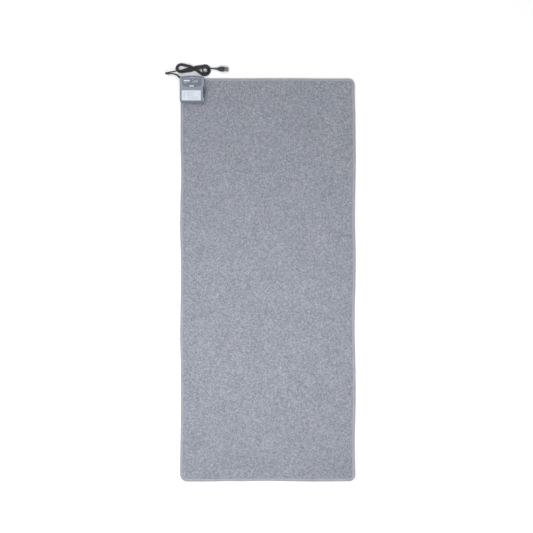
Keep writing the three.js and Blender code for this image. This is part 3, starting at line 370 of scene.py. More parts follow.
# One line a turn of the figure of eight: how far its two runs lie beside the waist's middle, then
# the centre and the half sizes in millimetres of its right lobe and of its left lobe. The first
# turn is the outer one on the right and the inner one on the left.
TURNS = [
    (LAYER, LAYER / 2, (-0.2798, 0.9317), (22.8, 23.4), (-0.3864, 0.9405), (14.8, 12.6)),
    (0, -LAYER / 2, (-0.2800, 0.9317), (16.2, 16.8), (-0.3858, 0.9405), (22.9, 19.1)),
]
# The last run, over the lobes to the plug: places, and millimetres above the second layer.
OVER_THE_TOP = [
    (-0.2897, 0.9346, 1.0), (-0.2860, 0.9400, 0.6), (-0.2795, 0.9444, 0.8),
    (-0.2715, 0.9452, 0.8), (-0.2645, 0.9434, 0.4), (-0.2580, 0.9404, 0.0),
]


def lobe(centre, size, first, last, steps, heights):
    """An arc of an ellipse, from one angle to another in degrees, with heights spread along it."""
    points = []
    for i in range(steps + 1):
        share = i / steps
        angle = math.radians(first + (last - first) * share)
        points.append(Vector((
            centre[0] + size[0] * MM * math.cos(angle),
            centre[1] + size[1] * MM * math.sin(angle),
            np.interp(share, np.linspace(0, 1, len(heights)), heights),
        )))
    return points


def crossing(heading, offset, reach, height):
    """Three points of a run through the waist, beside its centre line by offset."""
    direction = Vector((math.cos(math.radians(heading)), math.sin(math.radians(heading)), 0))
    side = Vector((-direction.y, direction.x, 0))
    start = Vector(((TIE_LOW.x + TIE_HIGH.x) / 2, (TIE_LOW.y + TIE_HIGH.y) / 2, height)) + side * offset
    return [start + direction * u for u in (-reach, 0, reach)]


def cord_route():
    """The whole cord: the lead, two turns of the figure of eight under the tie, a third loop
    round the right lobe only, and the tail."""
    low = CORD_RADIUS + 0.3 * MM
    high = low + LAYER
    route = list(LEAD_ROUTE)
    for rise, fall, right, right_size, left, left_size in TURNS:
        route += crossing(RISING, rise, 12 * MM, low)
        route += lobe(right, right_size, 112, -112, 12, (low, low, low, low, low + 2 * MM))
        route += crossing(FALLING, fall, 15 * MM, high + 0.2 * MM)
        route += lobe(left, left_size, 72, 292, 12, (low + LAYER / 2, low, low, low))
    # The last rising run goes once more round the right lobe, inside the others, and then over
    # all three to the plug.
    route += crossing(RISING, -LAYER, 12 * MM, low)
    climb = [low + share * LAYER for share in (0.04, 0.3, 0.8, 0.9, 0.94, 1, 1, 1.2)]
    route += lobe((-0.2788, 0.9312), (11.6, 10.9), 104, -168, 14, climb)
    route += [Vector((x, y, high + above * MM)) for x, y, above in OVER_THE_TOP]
    plug_root = Vector((TAIL_HIGH.x, (TAIL_LOW.y + TAIL_HIGH.y) / 2, (TAIL_LOW.z + TAIL_HIGH.z) / 2))
    route += [plug_root + Vector((-9 * MM, 0.3 * MM, 0)), plug_root]
    return smooth_route(route, 1.5 * MM)


def add_cord(route):
    """A round cord along the route, as a curve of one open spline."""
    data = bpy.data.curves.new("power_cord", "CURVE")
    data.dimensions = "3D"
    data.bevel_depth = CORD_RADIUS
    data.bevel_resolution = 4
    data.use_fill_caps = True
    spline = data.splines.new("POLY")
    spline.points.add(len(route) - 1)
    for point, place in zip(spline.points, route):
        point.co = (*place, 1)
    cord = in_scene("power_cord", data, black_cord_finish())
    adopt(cord, "cord", "power_cord_lead", "power_cord_hank", "power_cord_tail")


# --- The mat: carpet, backing, foil, wires and bound edge ---

PILE_LOW, PILE_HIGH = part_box("pile_fabric_head")
PILE_FOOT_LOW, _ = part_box("pile_fabric_foot")
_, FELT_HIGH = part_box("felt_backing_head")
SHIELD_LOW, SHIELD_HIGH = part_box("heat_shield_head")
SHIELD_FOOT_LOW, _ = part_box("heat_shield_foot")
TAPE_LOW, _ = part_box("binding_foot")
_, TAPE_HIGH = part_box("binding_head_corner")
FOLD = Vector(next(j for j in frame["joints"] if j["name"] == "mat_fold")["pos_m"])
FOLD_REACH = 0.045
MAT_CORNER = 28 * MM
PILE_CORNER = MAT_CORNER - 1.3 * MM
TAPE_WIDTH = 11.5 * MM
TAPE_THICKNESS = 0.9 * MM
# How far the carpet goes under the controller, and how far the other layers stay off it.
PILE_TUCK = 8 * MM
CASE_GAP = 0.6 * MM
CARPET_STEP = 6 * MM
FELT_STEP = 8 * MM
FOIL_STEP = 14 * MM
FOLD_STEP = 3 * MM
CORNER_STEPS = 8
WIRE_FOLD_STEPS = 12
STITCH_PITCH = 5 * MM
STITCH_INSET = 9.2 * MM


def soft_noise(x, y, size, seed):
    """Smooth value noise from -1 to 1, the same each run, with features about size across."""
    cells = np.random.default_rng(seed).uniform(-1, 1, (64, 64))
    u, v = np.asarray(x) / size + 100, np.asarray(y) / size + 100
    i, j = np.floor(u).astype(int), np.floor(v).astype(int)
    s, t = u - i, v - j
    s, t = s * s * (3 - 2 * s), t * t * (3 - 2 * t)

    def cell(a, b):
        return cells[a % 64, b % 64]

    low = cell(i, j) * (1 - s) + cell(i + 1, j) * s
    high = cell(i, j + 1) * (1 - s) + cell(i + 1, j + 1) * s
    return low * (1 - t) + high * t


def smooth_step(value, low, high):
    share = np.clip((value - low) / (high - low), 0, 1)
    return share * share * (3 - 2 * share)


def settle(points):
    """How a laid mat differs from a flat one: its edges wander a little and lift in places."""
    x, y, z = np.array(points, float).T
    half_width = (TAPE_HIGH.x - TAPE_LOW.x) / 2
    half_length = -TAPE_LOW.y
    # Nothing moves within 30 mm of the case, and the fold's own strip doesn't lift.
    from_case = np.hypot(np.maximum(x - CASE_HIGH.x, 0), np.minimum(y - CASE_LOW.y, 0))
    calm = smooth_step(from_case, 0.03, 0.3)
    flat_fold = smooth_step(np.abs(y - FOLD.y), FOLD_REACH, 0.2)
    to_side = np.clip(x / half_width, -1, 1)
    to_end = np.clip(y / half_length, -1, 1)
    side = np.sign(x)
    sideways = 1.6 * np.sin(y / 0.083 + 1.1 * side) + 1.3 * soft_noise(y, side * 3, 0.12, 5)
    lengthways = 1.2 * np.sin(x / 0.075 + to_end) + 0.9 * soft_noise(x, to_end * 3, 0.1, 7)
    x = x + side * np.abs(to_side) ** 4 * sideways * MM * calm
    y = y + np.sign(to_end) * np.abs(to_end) ** 12 * lengthways * MM * calm
    edge = np.maximum(np.abs(to_side) ** 10, np.abs(to_end) ** 30)
    lift = np.maximum(soft_noise(x, y, 0.16, 11) + 0.25, 0) * (0.5 + 2.2 * edge)
    return np.stack([x, y, z + lift * MM * calm * flat_fold], axis=1)


def grid_lines(low, high, step, marks=()):
    """Lines from low to high about a step apart, with one on each mark."""
    stops = sorted({low, high, *marks})
    lines = [low]
    for start, end in zip(stops, stops[1:]):
        count = max(1, round((end - start) / step))
        lines += [start + (end - start) * k / count for k in range(1, count + 1)]
    return np.array(lines)


def mat_grid(low, high, corner, gap, step):
    """A grid over the mat's outline. Its round corners squeeze the rows, and the controller's
    corner is left out with a gap round it."""
    notch_x, notch_y = CASE_HIGH.x + gap, CASE_LOW.y - gap
    bend = [corner * (1 - math.sin(math.pi / 2 * k / CORNER_STEPS)) for k in range(1, CORNER_STEPS)]
    along = grid_lines(low.x, high.x, step, [notch_x])
    fold_rows = np.arange(FOLD.y - FOLD_REACH, FOLD.y + FOLD_STEP / 2, FOLD_STEP)
    first, last = fold_rows[0], fold_rows[-1]
    rows = grid_lines(low.y + corner, high.y - corner, step, [notch_y, first, last])
    rows = {r for r in rows if not first < r < last} | {low.y, high.y, *fold_rows[1:-1]}
    rows = np.array(sorted(rows | {low.y + b for b in bend} | {high.y - b for b in bend}))
    past = np.maximum(np.maximum(low.y + corner - rows, rows - (high.y - corner)), 0)
    inset = corner - np.sqrt(np.maximum(corner ** 2 - past ** 2, 0))
    x, y = np.meshgrid(along, rows)
    middle = (low.x + high.x) / 2
    half = (high.x - low.x) / 2
    squeezed = middle + (x - middle) * (half - inset[:, None]) / half
    x = np.where((x < middle) & (y > notch_y), x, squeezed)
    mid_x = (along[1:] + along[:-1])[None, :] / 2
    mid_y = (rows[1:] + rows[:-1])[:, None] / 2
    return x, y, ~((mid_x < notch_x) & (mid_y > notch_y))


def slab(name, grid, top, bottom, material):
    """A closed sheet over a grid, between two heights: one for all, or one for each grid point."""
    x, y, keep = grid
    rows, columns = x.shape
    low_side = rows * columns
    index = np.arange(low_side).reshape(rows, columns)
    corners = [index[:-1, :-1], index[:-1, 1:], index[1:, 1:], index[1:, :-1]]
    tops = np.stack(corners, axis=-1)[keep]
    padded = np.pad(keep, 1)
    walls = []
    shifts = [(0, -1), (1, 0), (0, 1), (-1, 0)]
    for (across, up), first, second in zip(shifts, corners, corners[1:] + corners[:1]):
        beside = padded[1 + up:padded.shape[0] - 1 + up, 1 + across:padded.shape[1] - 1 + across]
        open_side = keep & ~beside
        a, b = first[open_side], second[open_side]
        walls.append(np.stack([a, a + low_side, b + low_side, b], axis=-1))
    faces = np.concatenate([tops, tops[:, ::-1] + low_side, *walls])
    sides = [np.stack([x, y, np.broadcast_to(level, x.shape)], axis=-1) for level in (top, bottom)]
    points = np.concatenate(sides).reshape(-1, 3)
    used, faces = np.unique(faces, return_inverse=True)
    return new_object(name, points[used], faces.reshape(-1, 4), material)


def lay_down(piece, slot, *nodes):
    """Keeps each point's place for the material, settles the mesh and hides the CAD nodes it stands for.
    """
    mesh = piece.data
    points = np.array([v.co for v in mesh.vertices])
    set_vectors(mesh, "place", points)
    mesh.vertices.foreach_set("co", settle(points).astype(np.float32).ravel())
    mesh.update()
    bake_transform(piece)
    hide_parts(*nodes)
    return piece


def edge_distance(x, y):
    """How far a point is inside the mat's outer edge."""
    half_width = (TAPE_HIGH.x - TAPE_LOW.x) / 2
    middle = (TAPE_HIGH.x + TAPE_LOW.x) / 2
    side = half_width - np.abs(x - middle)
    end = np.minimum(y - TAPE_LOW.y, TAPE_HIGH.y - y)
    in_corner = (side < MAT_CORNER) & (end < MAT_CORNER)
    rounded = MAT_CORNER - np.hypot(MAT_CORNER - side, MAT_CORNER - end)
    return np.where(in_corner, rounded, np.minimum(side, end))


def case_distance(x, y):
    """How far a point is outside the controller's two inner sides."""
    return np.maximum(x - CASE_HIGH.x, CASE_LOW.y - y)


def fibres(finish, where, fine):
    """A felted look: thin streaks that cross in four directions, as one value from 0 to 1."""
    crossed = None
    for turn in range(4):
        turned = finish.add("Mapping", {
            "Vector": where, "Rotation": (0, 0, math.pi * turn / 4 + 0.3),
            "Location": (0.37 * turn, 0.21 * turn, 0.11 * turn), "Scale": (1.0, 0.16, 1.0),
        }, "Vector")
        streak = finish.noise(fine, 2.0, 0.6, turned, distortion=0.6)
        crossed = streak if crossed is None else finish.math("MAXIMUM", crossed, streak)
    return crossed


def carpet_finish():
    """Needle-punched carpet of mixed fibres: dark, mid and pale greys with a few tinted ones."""
    finish = Finish("carpet_heather", roughness=0.95, Sheen_Weight=0.35, Sheen_Roughness=0.55,
                    Specular_IOR_Level=0.2)
    where = finish.attribute("place")
    thread = fibres(finish, where, 1300)
    clump = finish.noise(150, 6, 0.72, where)
    patch = finish.noise(9, 3, 0.5, where)
    tint = finish.noise(70, 2, 0.5, where, output="Color")
    level = finish.math("MULTIPLY_ADD", thread, 0.75, finish.math("MULTIPLY", clump, 0.85))
    level = finish.math("MULTIPLY_ADD", patch, 0.06, level)
    greys = finish.ramp(
        finish.rescale(level, 0.62, 1.22),
        (0.05, srgb(80, 83, 94)), (0.38, srgb(134, 137, 148)),
        (0.62, srgb(162, 165, 176)), (0.95, srgb(216, 218, 226)),
    )
    finish.colour(finish.mix(0.1, greys, tint, "OVERLAY"))
    coarse = finish.relief(clump, 1.1 * MM, 0.5)
    finish.relief(thread, 0.5 * MM, 0.6, before=coarse)
    return finish.material


def felt_finish():
    """Pale needle felt under the mat."""
    finish = Finish("backing_felt", roughness=0.95, Sheen_Weight=0.25, Sheen_Roughness=0.6)
    where = finish.attribute("place")
    level = finish.math("MULTIPLY_ADD", finish.noise(90, 3, 0.6, where), 0.5, fibres(finish, where, 700))
    finish.colours(
        finish.rescale(level, 0.6, 1.15),
        (0.1, srgb(150, 152, 156)), (0.6, srgb(192, 193, 196)), (1.0, srgb(222, 223, 225)),
    )
    finish.relief(level, 0.6 * MM, 0.5)
    return finish.material


def tape_finish():
    """Woven binding tape: ribs one way, yarns the other, slight soiling, and painted shade in the
    weave's hollows.
    """
    finish = Finish("binding_tape", roughness=0.8, Sheen_Weight=0.3, Sheen_Roughness=0.45,
                    Specular_IOR_Level=0.3)
    weave = finish.attribute("weave")
    ribs = finish.wave(220, weave, "X", 0.25)
    yarns = finish.wave(330, weave, "Y", 0.35)
    worn = finish.noise(24, 4, 0.6, weave)
    fine = finish.noise(700, 2, 0.5, weave)
    base = finish.ramp(worn, (0.3, srgb(158, 161, 170)), (0.7, srgb(176, 179, 186)))
    shade = finish.math("MULTIPLY_ADD", ribs, 0.5, finish.math("MULTIPLY", yarns, 0.3))
    shade = finish.math("MULTIPLY_ADD", fine, 0.3, shade)
    # Painted shade: the weave's hollows, low in the relief's height, are mixed toward a darker grey.
    finish.colour(finish.mix(finish.rescale(shade, 0.0, 1.1, 0.42, 0.0), base, srgb(128, 130, 140)))
    finish.relief(shade, 0.22 * MM, 0.7)
    return finish.material


def add_carpet():
    grid = mat_grid(PILE_FOOT_LOW, PILE_HIGH, PILE_CORNER, -PILE_TUCK, CARPET_STEP)
    x, y, _ = grid
    free = smooth_step(edge_distance(x, y), TAPE_WIDTH - 1.5 * MM, TAPE_WIDTH + 5 * MM)
    free = free * smooth_step(case_distance(x, y), 0.0, 7 * MM)
    uneven = 0.28 * soft_noise(x, y, 0.021, 21) + 0.22 * soft_noise(x, y, 0.0125, 22)
    uneven += 0.25 * soft_noise(x, y, 0.075, 23)
    held_down = PILE_HIGH.z - 1.25 * MM
    top = held_down + free * (1.55 + uneven) * MM
    carpet = slab("carpet_pile", grid, top, PILE_LOW.z, carpet_finish())
    return lay_down(carpet, "carpet", "pile_fabric_head", "pile_fabric_foot")


def add_backing():
    grid = mat_grid(PILE_FOOT_LOW, PILE_HIGH, PILE_CORNER, CASE_GAP, FELT_STEP)
    x, y, _ = grid
    under_tape = 1 - smooth_step(edge_distance(x, y), TAPE_WIDTH - 0.5 * MM, TAPE_WIDTH + 4 * MM)
    hollow = 0.12 * (1 + soft_noise(x, y, 0.04, 31)) * (1 - under_tape)
    bottom = (under_tape * 1.15 + hollow) * MM
    felt = slab("felt_backing", grid, FELT_HIGH.z, bottom, felt_finish())
    return lay_down(felt, "felt", "felt_backing_head", "felt_backing_foot")


def add_foil():
    grid = mat_grid(SHIELD_FOOT_LOW, SHIELD_HIGH, MAT_CORNER - TAPE_WIDTH, CASE_GAP, FOIL_STEP)
    finish = Finish("foil_crinkled", colour=(0.86, 0.87, 0.88, 1), roughness=0.25, Metallic=1.0)
    finish.relief(finish.cells(60, finish.attribute("place")), 0.4 * MM, 0.6)
    foil = slab("heat_shield", grid, SHIELD_HIGH.z, SHIELD_LOW.z, finish.material)
    lay_down(foil, "foil", "heat_shield_head", "heat_shield_foot")


def copy_of_nodes(name, nodes, material, refine, sharp):
    """One piece made from the shapes of some CAD nodes: welded, refined and with sharp edges."""
    shape = bmesh.new()
    for node in nodes:
        shape.from_mesh(frame["nodes"][node].data)
    bmesh.ops.remove_doubles(shape, verts=shape.verts, dist=0.01 * MM)
    refine(shape)
    mesh = bpy.data.meshes.new(name)
    shape.to_mesh(mesh)
    shape.free()
    mesh.materials.clear()
    mesh.polygons.foreach_set("use_smooth", [True] * len(mesh.polygons))
    mesh.set_sharp_from_angle(angle=math.radians(sharp))
    return in_scene(name, mesh, material)


def cut_at_fold(shape):
    """Cuts the wires across in rows just short of the fold."""
    for k in range(1, WIRE_FOLD_STEPS):
        bmesh.ops.bisect_plane(
            shape, geom=shape.verts[:] + shape.edges[:] + shape.faces[:],
            plane_co=FOLD - Vector((0, FOLD_REACH * k / WIRE_FOLD_STEPS, 0)), plane_no=(0, 1, 0),
        )


def add_heating_wires():
    nodes = ["heating_wire_head", "heating_wire_return_head", "heating_wire_foot"]
    shades = (0.35, srgb(206, 190, 168)), (0.65, srgb(222, 208, 188))
    silicone = mottled("wire_silicone", shades, (60, 3), (1500, 0.03 * MM))
    wires = copy_of_nodes("heating_wires", nodes, silicone, cut_at_fold, 50)
    lay_down(wires, "heating_wire", *nodes)


def edge_path(step):
    """The mat's outer edge, from the case's foot side round to its inner side: points, the
    directions inward, and how far along each is."""
    foot, head, r = TAPE_LOW.y, TAPE_HIGH.y, MAT_CORNER
    left, right = TAPE_LOW.x, TAPE_HIGH.x
    end = Vector((CASE_HIGH.x + CASE_GAP, head))
    # Each straight run, and the angle from its corner's centre at which the bend after it starts.
    runs = [
        ((left, CASE_LOW.y - CASE_GAP), (left, foot + r), 180),
        ((left + r, foot), (right - r, foot), 270),
        ((right, foot + r), (right, head - r), 0),
        ((right - r, head), end, None),
    ]
    bends = max(12, round(r * math.pi / 2 / step))
    places, inward = [], []
    for a, b, angle in runs:
        a, b = Vector(a), Vector(b)
        heading = (b - a).normalized()
        side = Vector((-heading.y, heading.x))
        count = round((b - a).length / step)
        places += [a.lerp(b, k / count) for k in range(count)]
        inward += [side] * count
        if angle is not None:
            turns = [math.radians(angle + 90 * k / bends) for k in range(bends)]
            outward = [Vector((math.cos(turn), math.sin(turn))) for turn in turns]
            places += [b + side * r + out * r for out in outward]
            inward += [-out for out in outward]
    places, inward = np.array([*places, end]), np.array([*inward, inward[-1]])
    steps = np.hypot(*np.diff(places, axis=0).T)
    return places, inward, np.concatenate([[0], np.cumsum(steps)])


# The tape's section, from its top inner edge round the outside to its bottom inner edge: how
# far inside the mat's edge, and how high, in millimetres.
TAPE_SECTION = [
    (11.5, 9.05), (10.6, 9.3), (9.9, 9.22), (9.2, 9.05), (8.5, 9.25), (7.4, 9.75), (5.8, 10.15),
    (4.0, 10.2), (2.6, 9.95), (1.4, 9.2), (0.5, 8.0), (0.1, 6.4), (0.0, 5.0), (0.1, 3.4),
    (0.5, 1.9), (1.3, 0.75), (2.6, 0.15), (4.4, 0.02), (6.6, 0.03), (8.4, 0.15), (9.2, 0.45),
    (10.0, 0.15), (10.8, 0.05), (11.5, 0.1),
]


def add_binding():
    places, inward, along = edge_path(2.0 * MM)
    section = np.array(TAPE_SECTION) * MM
    # The tape's hidden face is the same line, moved in by the tape's thickness.
    heading = np.gradient(section, axis=0)
    heading /= np.hypot(*heading.T)[:, None]
    hidden = section + np.stack([-heading[:, 1], heading[:, 0]], axis=1) * TAPE_THICKNESS
    ring = np.concatenate([section, hidden[::-1]])
    # Between stitches the tape swells a little, and its inner edge wanders.
    pucker = 0.5 + 0.5 * np.cos(2 * math.pi * along / STITCH_PITCH)
    ripple = soft_noise(along, 0, 0.011, 41)
    wander = soft_noise(along, 5, 0.05, 42)
    across = ring[None, :, 0] + np.zeros((len(along), 1))
    near_stitch = np.exp(-((across - STITCH_INSET) / (2.4 * MM)) ** 2)
    on_top = (ring[:, 1] > 5 * MM)[None, :]
    raised = np.where(on_top, 0.22 * pucker[:, None] * near_stitch, 0.0)
    crown = np.where(on_top, np.sin(np.clip(across / TAPE_WIDTH, 0, 1) * math.pi), 0.0)
    height = ring[None, :, 1] + (raised + 0.22 * ripple[:, None] * crown) * MM
    across = across + 0.35 * MM * wander[:, None] * smooth_step(across, 5 * MM, TAPE_WIDTH)
    flat = places[:, None, :] + inward[:, None, :] * across[:, :, None]
    points = np.concatenate([flat, height[:, :, None]], axis=2).reshape(-1, 3)
    faces = ring_faces(len(along), len(ring), flip=True)
    tape = new_object("edge_binding", points, faces, tape_finish())
    around = np.concatenate([[0], np.cumsum(np.hypot(*np.diff(ring, axis=0).T))])
    weave = np.broadcast_arrays(along[:, None], around[None, :], np.zeros((1, 1)))
    set_vectors(tape.data, "weave", np.stack(weave, axis=-1))
    return lay_down(tape, "tape", "binding_head_left", "binding_head_corner", "binding_foot")


def add_stitches():
    """A lockstitch along the tape's inner edge, above and below: one short thread each."""
    places, inward, along = edge_path(1.0 * MM)
    starts = np.arange(2 * STITCH_PITCH, along[-1] - 2 * STITCH_PITCH, STITCH_PITCH)
    sides, rings = 5, 5
    vertices, faces = [], []
    for height, sign in ((9.2 * MM, 1), (0.32 * MM, -1)):
        for start in starts:
            faces += ring_faces(rings, sides, len(vertices), flip=True)
            for k in range(rings):
                share = k / (rings - 1)
                reach = start + share * STITCH_PITCH * 0.86
                middle, side = (
                    np.array([np.interp(reach, along, line) for line in lines.T])
                    for lines in (places, inward)
                )
                middle = middle + side * STITCH_INSET
                arch = math.sin(math.pi * share)
                radius = (0.12 + 0.2 * arch) * MM
                level = height + sign * (0.12 * arch - 0.1) * MM
                for c, s in round_steps(sides):
                    vertices.append((*(middle + side * radius * c), level + radius * s))
    finish = Finish("sewing_thread", colour=srgb(196, 198, 204), roughness=0.6, Sheen_Weight=0.3)
    finish.relief(finish.wave(900, None, "DIAGONAL", 0.5), 0.06 * MM, 0.6)
    stitches = new_object("binding_stitches", vertices, faces, finish.material)
    return lay_down(stitches, "tape")


def add_mat():
    felt = add_backing()
    add_foil()
    add_heating_wires()
    carpet = add_carpet()
    on_edge = [add_binding(), add_stitches()]


# --- Controller, plug and the other hard pieces ---

PANEL_LOW, PANEL_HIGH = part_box("control_panel")
LABEL_LOW, LABEL_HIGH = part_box("caution_label")
RATING_LOW, RATING_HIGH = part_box("rating_label")
BEZEL_LOW, BEZEL_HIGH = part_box("slide_bezel")
KNOB_LOW, KNOB_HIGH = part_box("temperature_knob")
PLUG_LOW, PLUG_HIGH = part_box("plug_body")
RELIEF_ANGLE = math.radians(143)
RELIEF_AXIS = Vector((math.cos(RELIEF_ANGLE), math.sin(RELIEF_ANGLE), 0))
PLUG_TURN = math.radians(-3)
PRINT_THICKNESS = 0.05 * MM
GROOVE_INSET = 6.2 * MM


def plastic(name, colour, roughness, grain=0.05 * MM, grain_scale=1400):
    """Moulded plastic: a spark-eroded grain, faint cloudiness and a few dull handling marks."""
    finish = Finish(name, roughness=roughness)
    cloud = finish.noise(22, 4, 0.6)
    marks = finish.noise(120, 5, 0.7, finish.place((1.0, 0.25, 1.0), (0, 0, 0.7)))
    base = finish.ramp(cloud, (0.35, scaled(colour, 0.93)), (0.65, colour))
    scuffed = finish.rescale(marks, 0.62, 0.74, 0.0, 0.2)
    finish.colour(finish.mix(scuffed, base, scaled(colour, 1.25, 0.01)))
    finish.roughness(finish.rescale(marks, 0.3, 0.75, roughness - 0.05, roughness + 0.14))
    finish.relief(finish.noise(grain_scale, 2, 0.6), grain, 0.8)
    return finish.material


def printed(name, colour):
    return mottled(name, ((0.35, colour), (0.6, scaled(colour, 1.08))), (1600, 2))


def steel_finish(name="steel_plated", colour=(0.62, 0.62, 0.63, 1), roughness=0.28):
    finish = Finish(name, roughness=roughness, Metallic=1.0)
    brushed = finish.noise(300, 3, 0.6, finish.place((1, 12, 1)))
    finish.colours(brushed, (0.3, scaled(colour, 0.8)), (0.7, colour))
    finish.roughness(finish.rescale(brushed, 0.3, 0.7, roughness - 0.06, roughness + 0.14))
    finish.relief(brushed, 0.02 * MM, 0.5)
    return finish.material


def join_flat_faces(shape):
    bmesh.ops.dissolve_limit(
        shape, angle_limit=math.radians(1), verts=shape.verts, edges=shape.edges,
    )


def cut_out(piece, cutters):
    """Takes the cutters' shapes away from the piece, and then the cutters from the scene."""
    for cutter in cutters:
        boolean = piece.modifiers.new("cut", "BOOLEAN")
        boolean.operation = "DIFFERENCE"
        boolean.solver = "EXACT"
        boolean.object = cutter
    bpy.context.view_layer.update()
    whole = piece.evaluated_get(bpy.context.evaluated_depsgraph_get())
    mesh = bpy.data.meshes.new_from_object(whole)
    mesh.name = piece.name
    piece.modifiers.clear()
    piece.data = mesh
    for cutter in cutters:
        bpy.data.objects.remove(cutter)


def solid_copy(name, node, material, width, slot, body="head", cutters=()):
    """A finer copy of a CAD node: its flat faces joined, what the cutters take away, and its edges
    rounded over a width."""
    piece = copy_of_nodes(name, [node], material, join_flat_faces, 40)
    if cutters:
        cut_out(piece, cutters)
    if width:
        edges = piece.modifiers.new("edges", "BEVEL")
        edges.width = width
        edges.segments = 3
        edges.limit_method = "ANGLE"
        edges.angle_limit = math.radians(35)
        edges.harden_normals = True
        edges.use_clamp_overlap = True
        piece.modifiers.new("normals", "WEIGHTED_NORMAL").keep_sharp = True
    return adopt(piece, slot, node, body=body)


def lathe(name, profile, start, axis, material, sides=40):
    """A turned piece: (distance along the axis, radius) pairs, round an axis from start."""
    axis = Vector(axis).normalized()
    across = axis.orthogonal().normalized()
    up = axis.cross(across)
    vertices = [
        start + axis * along + (across * c + up * s) * radius
        for along, radius in profile for c, s in round_steps(sides)
    ]
    return new_object(name, vertices, ring_faces(len(profile), sides), material, sharp=50)


def bars(name, boxes, height, material, rounding):
    """Flat printed bars with rounded ends, each (x, y, width, length), standing at a height."""
    vertices, faces = [], []
    for x, y, width, length in boxes:
        r = min(rounding, width / 2, length / 2)
        outline = []
        for cx, cy, turn in ((x + width - r, y + length - r, 0), (x + r, y + length - r, 90),
                             (x + r, y + r, 180), (x + width - r, y + r, 270)):
            for k in range(4):
                angle = math.radians(turn + 30 * k)
                outline.append((cx + r * math.cos(angle), cy + r * math.sin(angle)))
        faces += ring_faces(2, len(outline), len(vertices), flip=True)
        vertices += [(*p, height + PRINT_THICKNESS) for p in outline]
        vertices += [(*p, height) for p in outline]
    piece = new_object(name, vertices, faces, material, smooth=False)
    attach(piece, "head")


def swept_bar(name, route, width, depth, material):
    """A bar with a rounded section along a route. Depth is half its height."""
    vertices, sides = [], 12
    for i, place in enumerate(route):
        ahead = route[min(i + 1, len(route) - 1)] - route[max(i - 1, 0)]
        side = Vector((-ahead.y, ahead.x, 0)).normalized()
        for c, s in round_steps(sides):
            vertices.append(place + side * c * width / 2 + Vector((0, 0, s * depth)))
    return new_object(name, vertices, ring_faces(len(route), sides), material)


def arch_line(first, last):
    """Points that follow the case's arched head edge, a groove's distance inside it, between two
    shares of its width."""
    width = CASE_HIGH.x - CASE_LOW.x
    shoulder = CASE_HIGH.y - CASE_ARCH
    radius = (width ** 2 / 4 + CASE_ARCH ** 2) / (2 * CASE_ARCH)
    middle = (CASE_LOW.x + CASE_HIGH.x) / 2
    points, steps = [], 24
    for k in range(steps + 1):
        x = CASE_LOW.x + width * (first + (last - first) * k / steps)
        y = shoulder + CASE_ARCH - radius + math.sqrt(radius ** 2 - (x - middle) ** 2)
        points.append(Vector((x, y - GROOVE_INSET, CASE_HIGH.z)))
    return points


def add_case():
    shell = plastic("case_slate", srgb(144, 151, 167), 0.46)
    # Painted shade: a dark plastic for strips that stand for the shadow along the arched lip and the
    # foot edge.
    painted_shade_strip = plastic("painted_shade_dark", srgb(74, 80, 92), 0.6)
    foot = CASE_LOW.y + 2.9 * MM
    ends = (CASE_LOW.x + 5 * MM, CASE_HIGH.x - 5 * MM)
    grooves = {
        "head_left": arch_line(0.07, 0.455),
        "head_right": arch_line(0.525, 0.93),
        "foot": [Vector((x, foot, CASE_HIGH.z)) for x in ends],
    }
    cutters = [
        swept_bar("groove_" + name, line, 2.6 * MM, 1.2 * MM, shell) for name, line in grooves.items()
    ]
    solid_copy("controller_cover", "upper_case", shell, 0.45 * MM, "case", cutters=cutters)
    # Dark strips sunk in the grooves paint the shade of the head lip and the foot edge, not a real seal.
    for name, line in grooves.items():
        sunk = [p - Vector((0, 0, 0.75 * MM)) for p in line]
        adopt(swept_bar("case_painted_shade_" + name, sunk, 2.3 * MM, 0.4 * MM, painted_shade_strip), "case")
    solid_copy("controller_base", "lower_case", shell, 0.4 * MM, "case")


def add_panel():
    """The panel and what is printed on it: a plain bright bar, a dim pair and a graded scale."""
    slate = plastic("panel_slate", srgb(115, 124, 138), 0.4, grain=0.02 * MM, grain_scale=2400)
    solid_copy("control_panel_plate", "control_panel", slate, 0.15 * MM, "panel")
    # Each row: the shade, how round the bars' ends are, and the bars, all in millimetres from
    # the panel's head left corner.
    prints = {
        "panel_bar_bright": ("print_bright", (222, 230, 240), 1.2, [(4.6, 10.4, 27.5, 5.4)]),
        "panel_bar_dim": ("print_dim", (152, 168, 182), 1.0,
                          [(4.6, 15.6, 27.5, 3.4), (5.0, 20.6, 14.0, 3.6)]),
        "panel_heat_scale": ("print_sage", (172, 178, 170), 0.6,
                             [(41 + 4.6 * k, 15.4, 3.2, 3.4 + 1.6 * k) for k in range(6)]),
        "panel_dot": ("print_dot", (206, 210, 232), 1.3, [(43.0, 4.4, 2.6, 2.6)]),
    }
    for name, (ink, shade, rounding, boxes) in prints.items():
        placed = [
            (PANEL_LOW.x + x * MM, PANEL_HIGH.y - down * MM, width * MM, length * MM)
            for x, down, width, length in boxes
        ]
        bars(name, placed, PANEL_HIGH.z, printed(ink, srgb(*shade)), rounding * MM)
    milky = Finish("lens_milky", roughness=0.18, Transmission_Weight=0.1, IOR=1.49, Coat_Weight=0.4)
    milky.colours(milky.noise(80, 2), (0.3, srgb(238, 242, 250)), (0.7, srgb(246, 249, 254)))
    milky.relief(milky.wave(110), 0.05 * MM, 0.5)
    solid_copy("power_lens_cap", "power_lens", milky.material, 0.5 * MM, "lens")


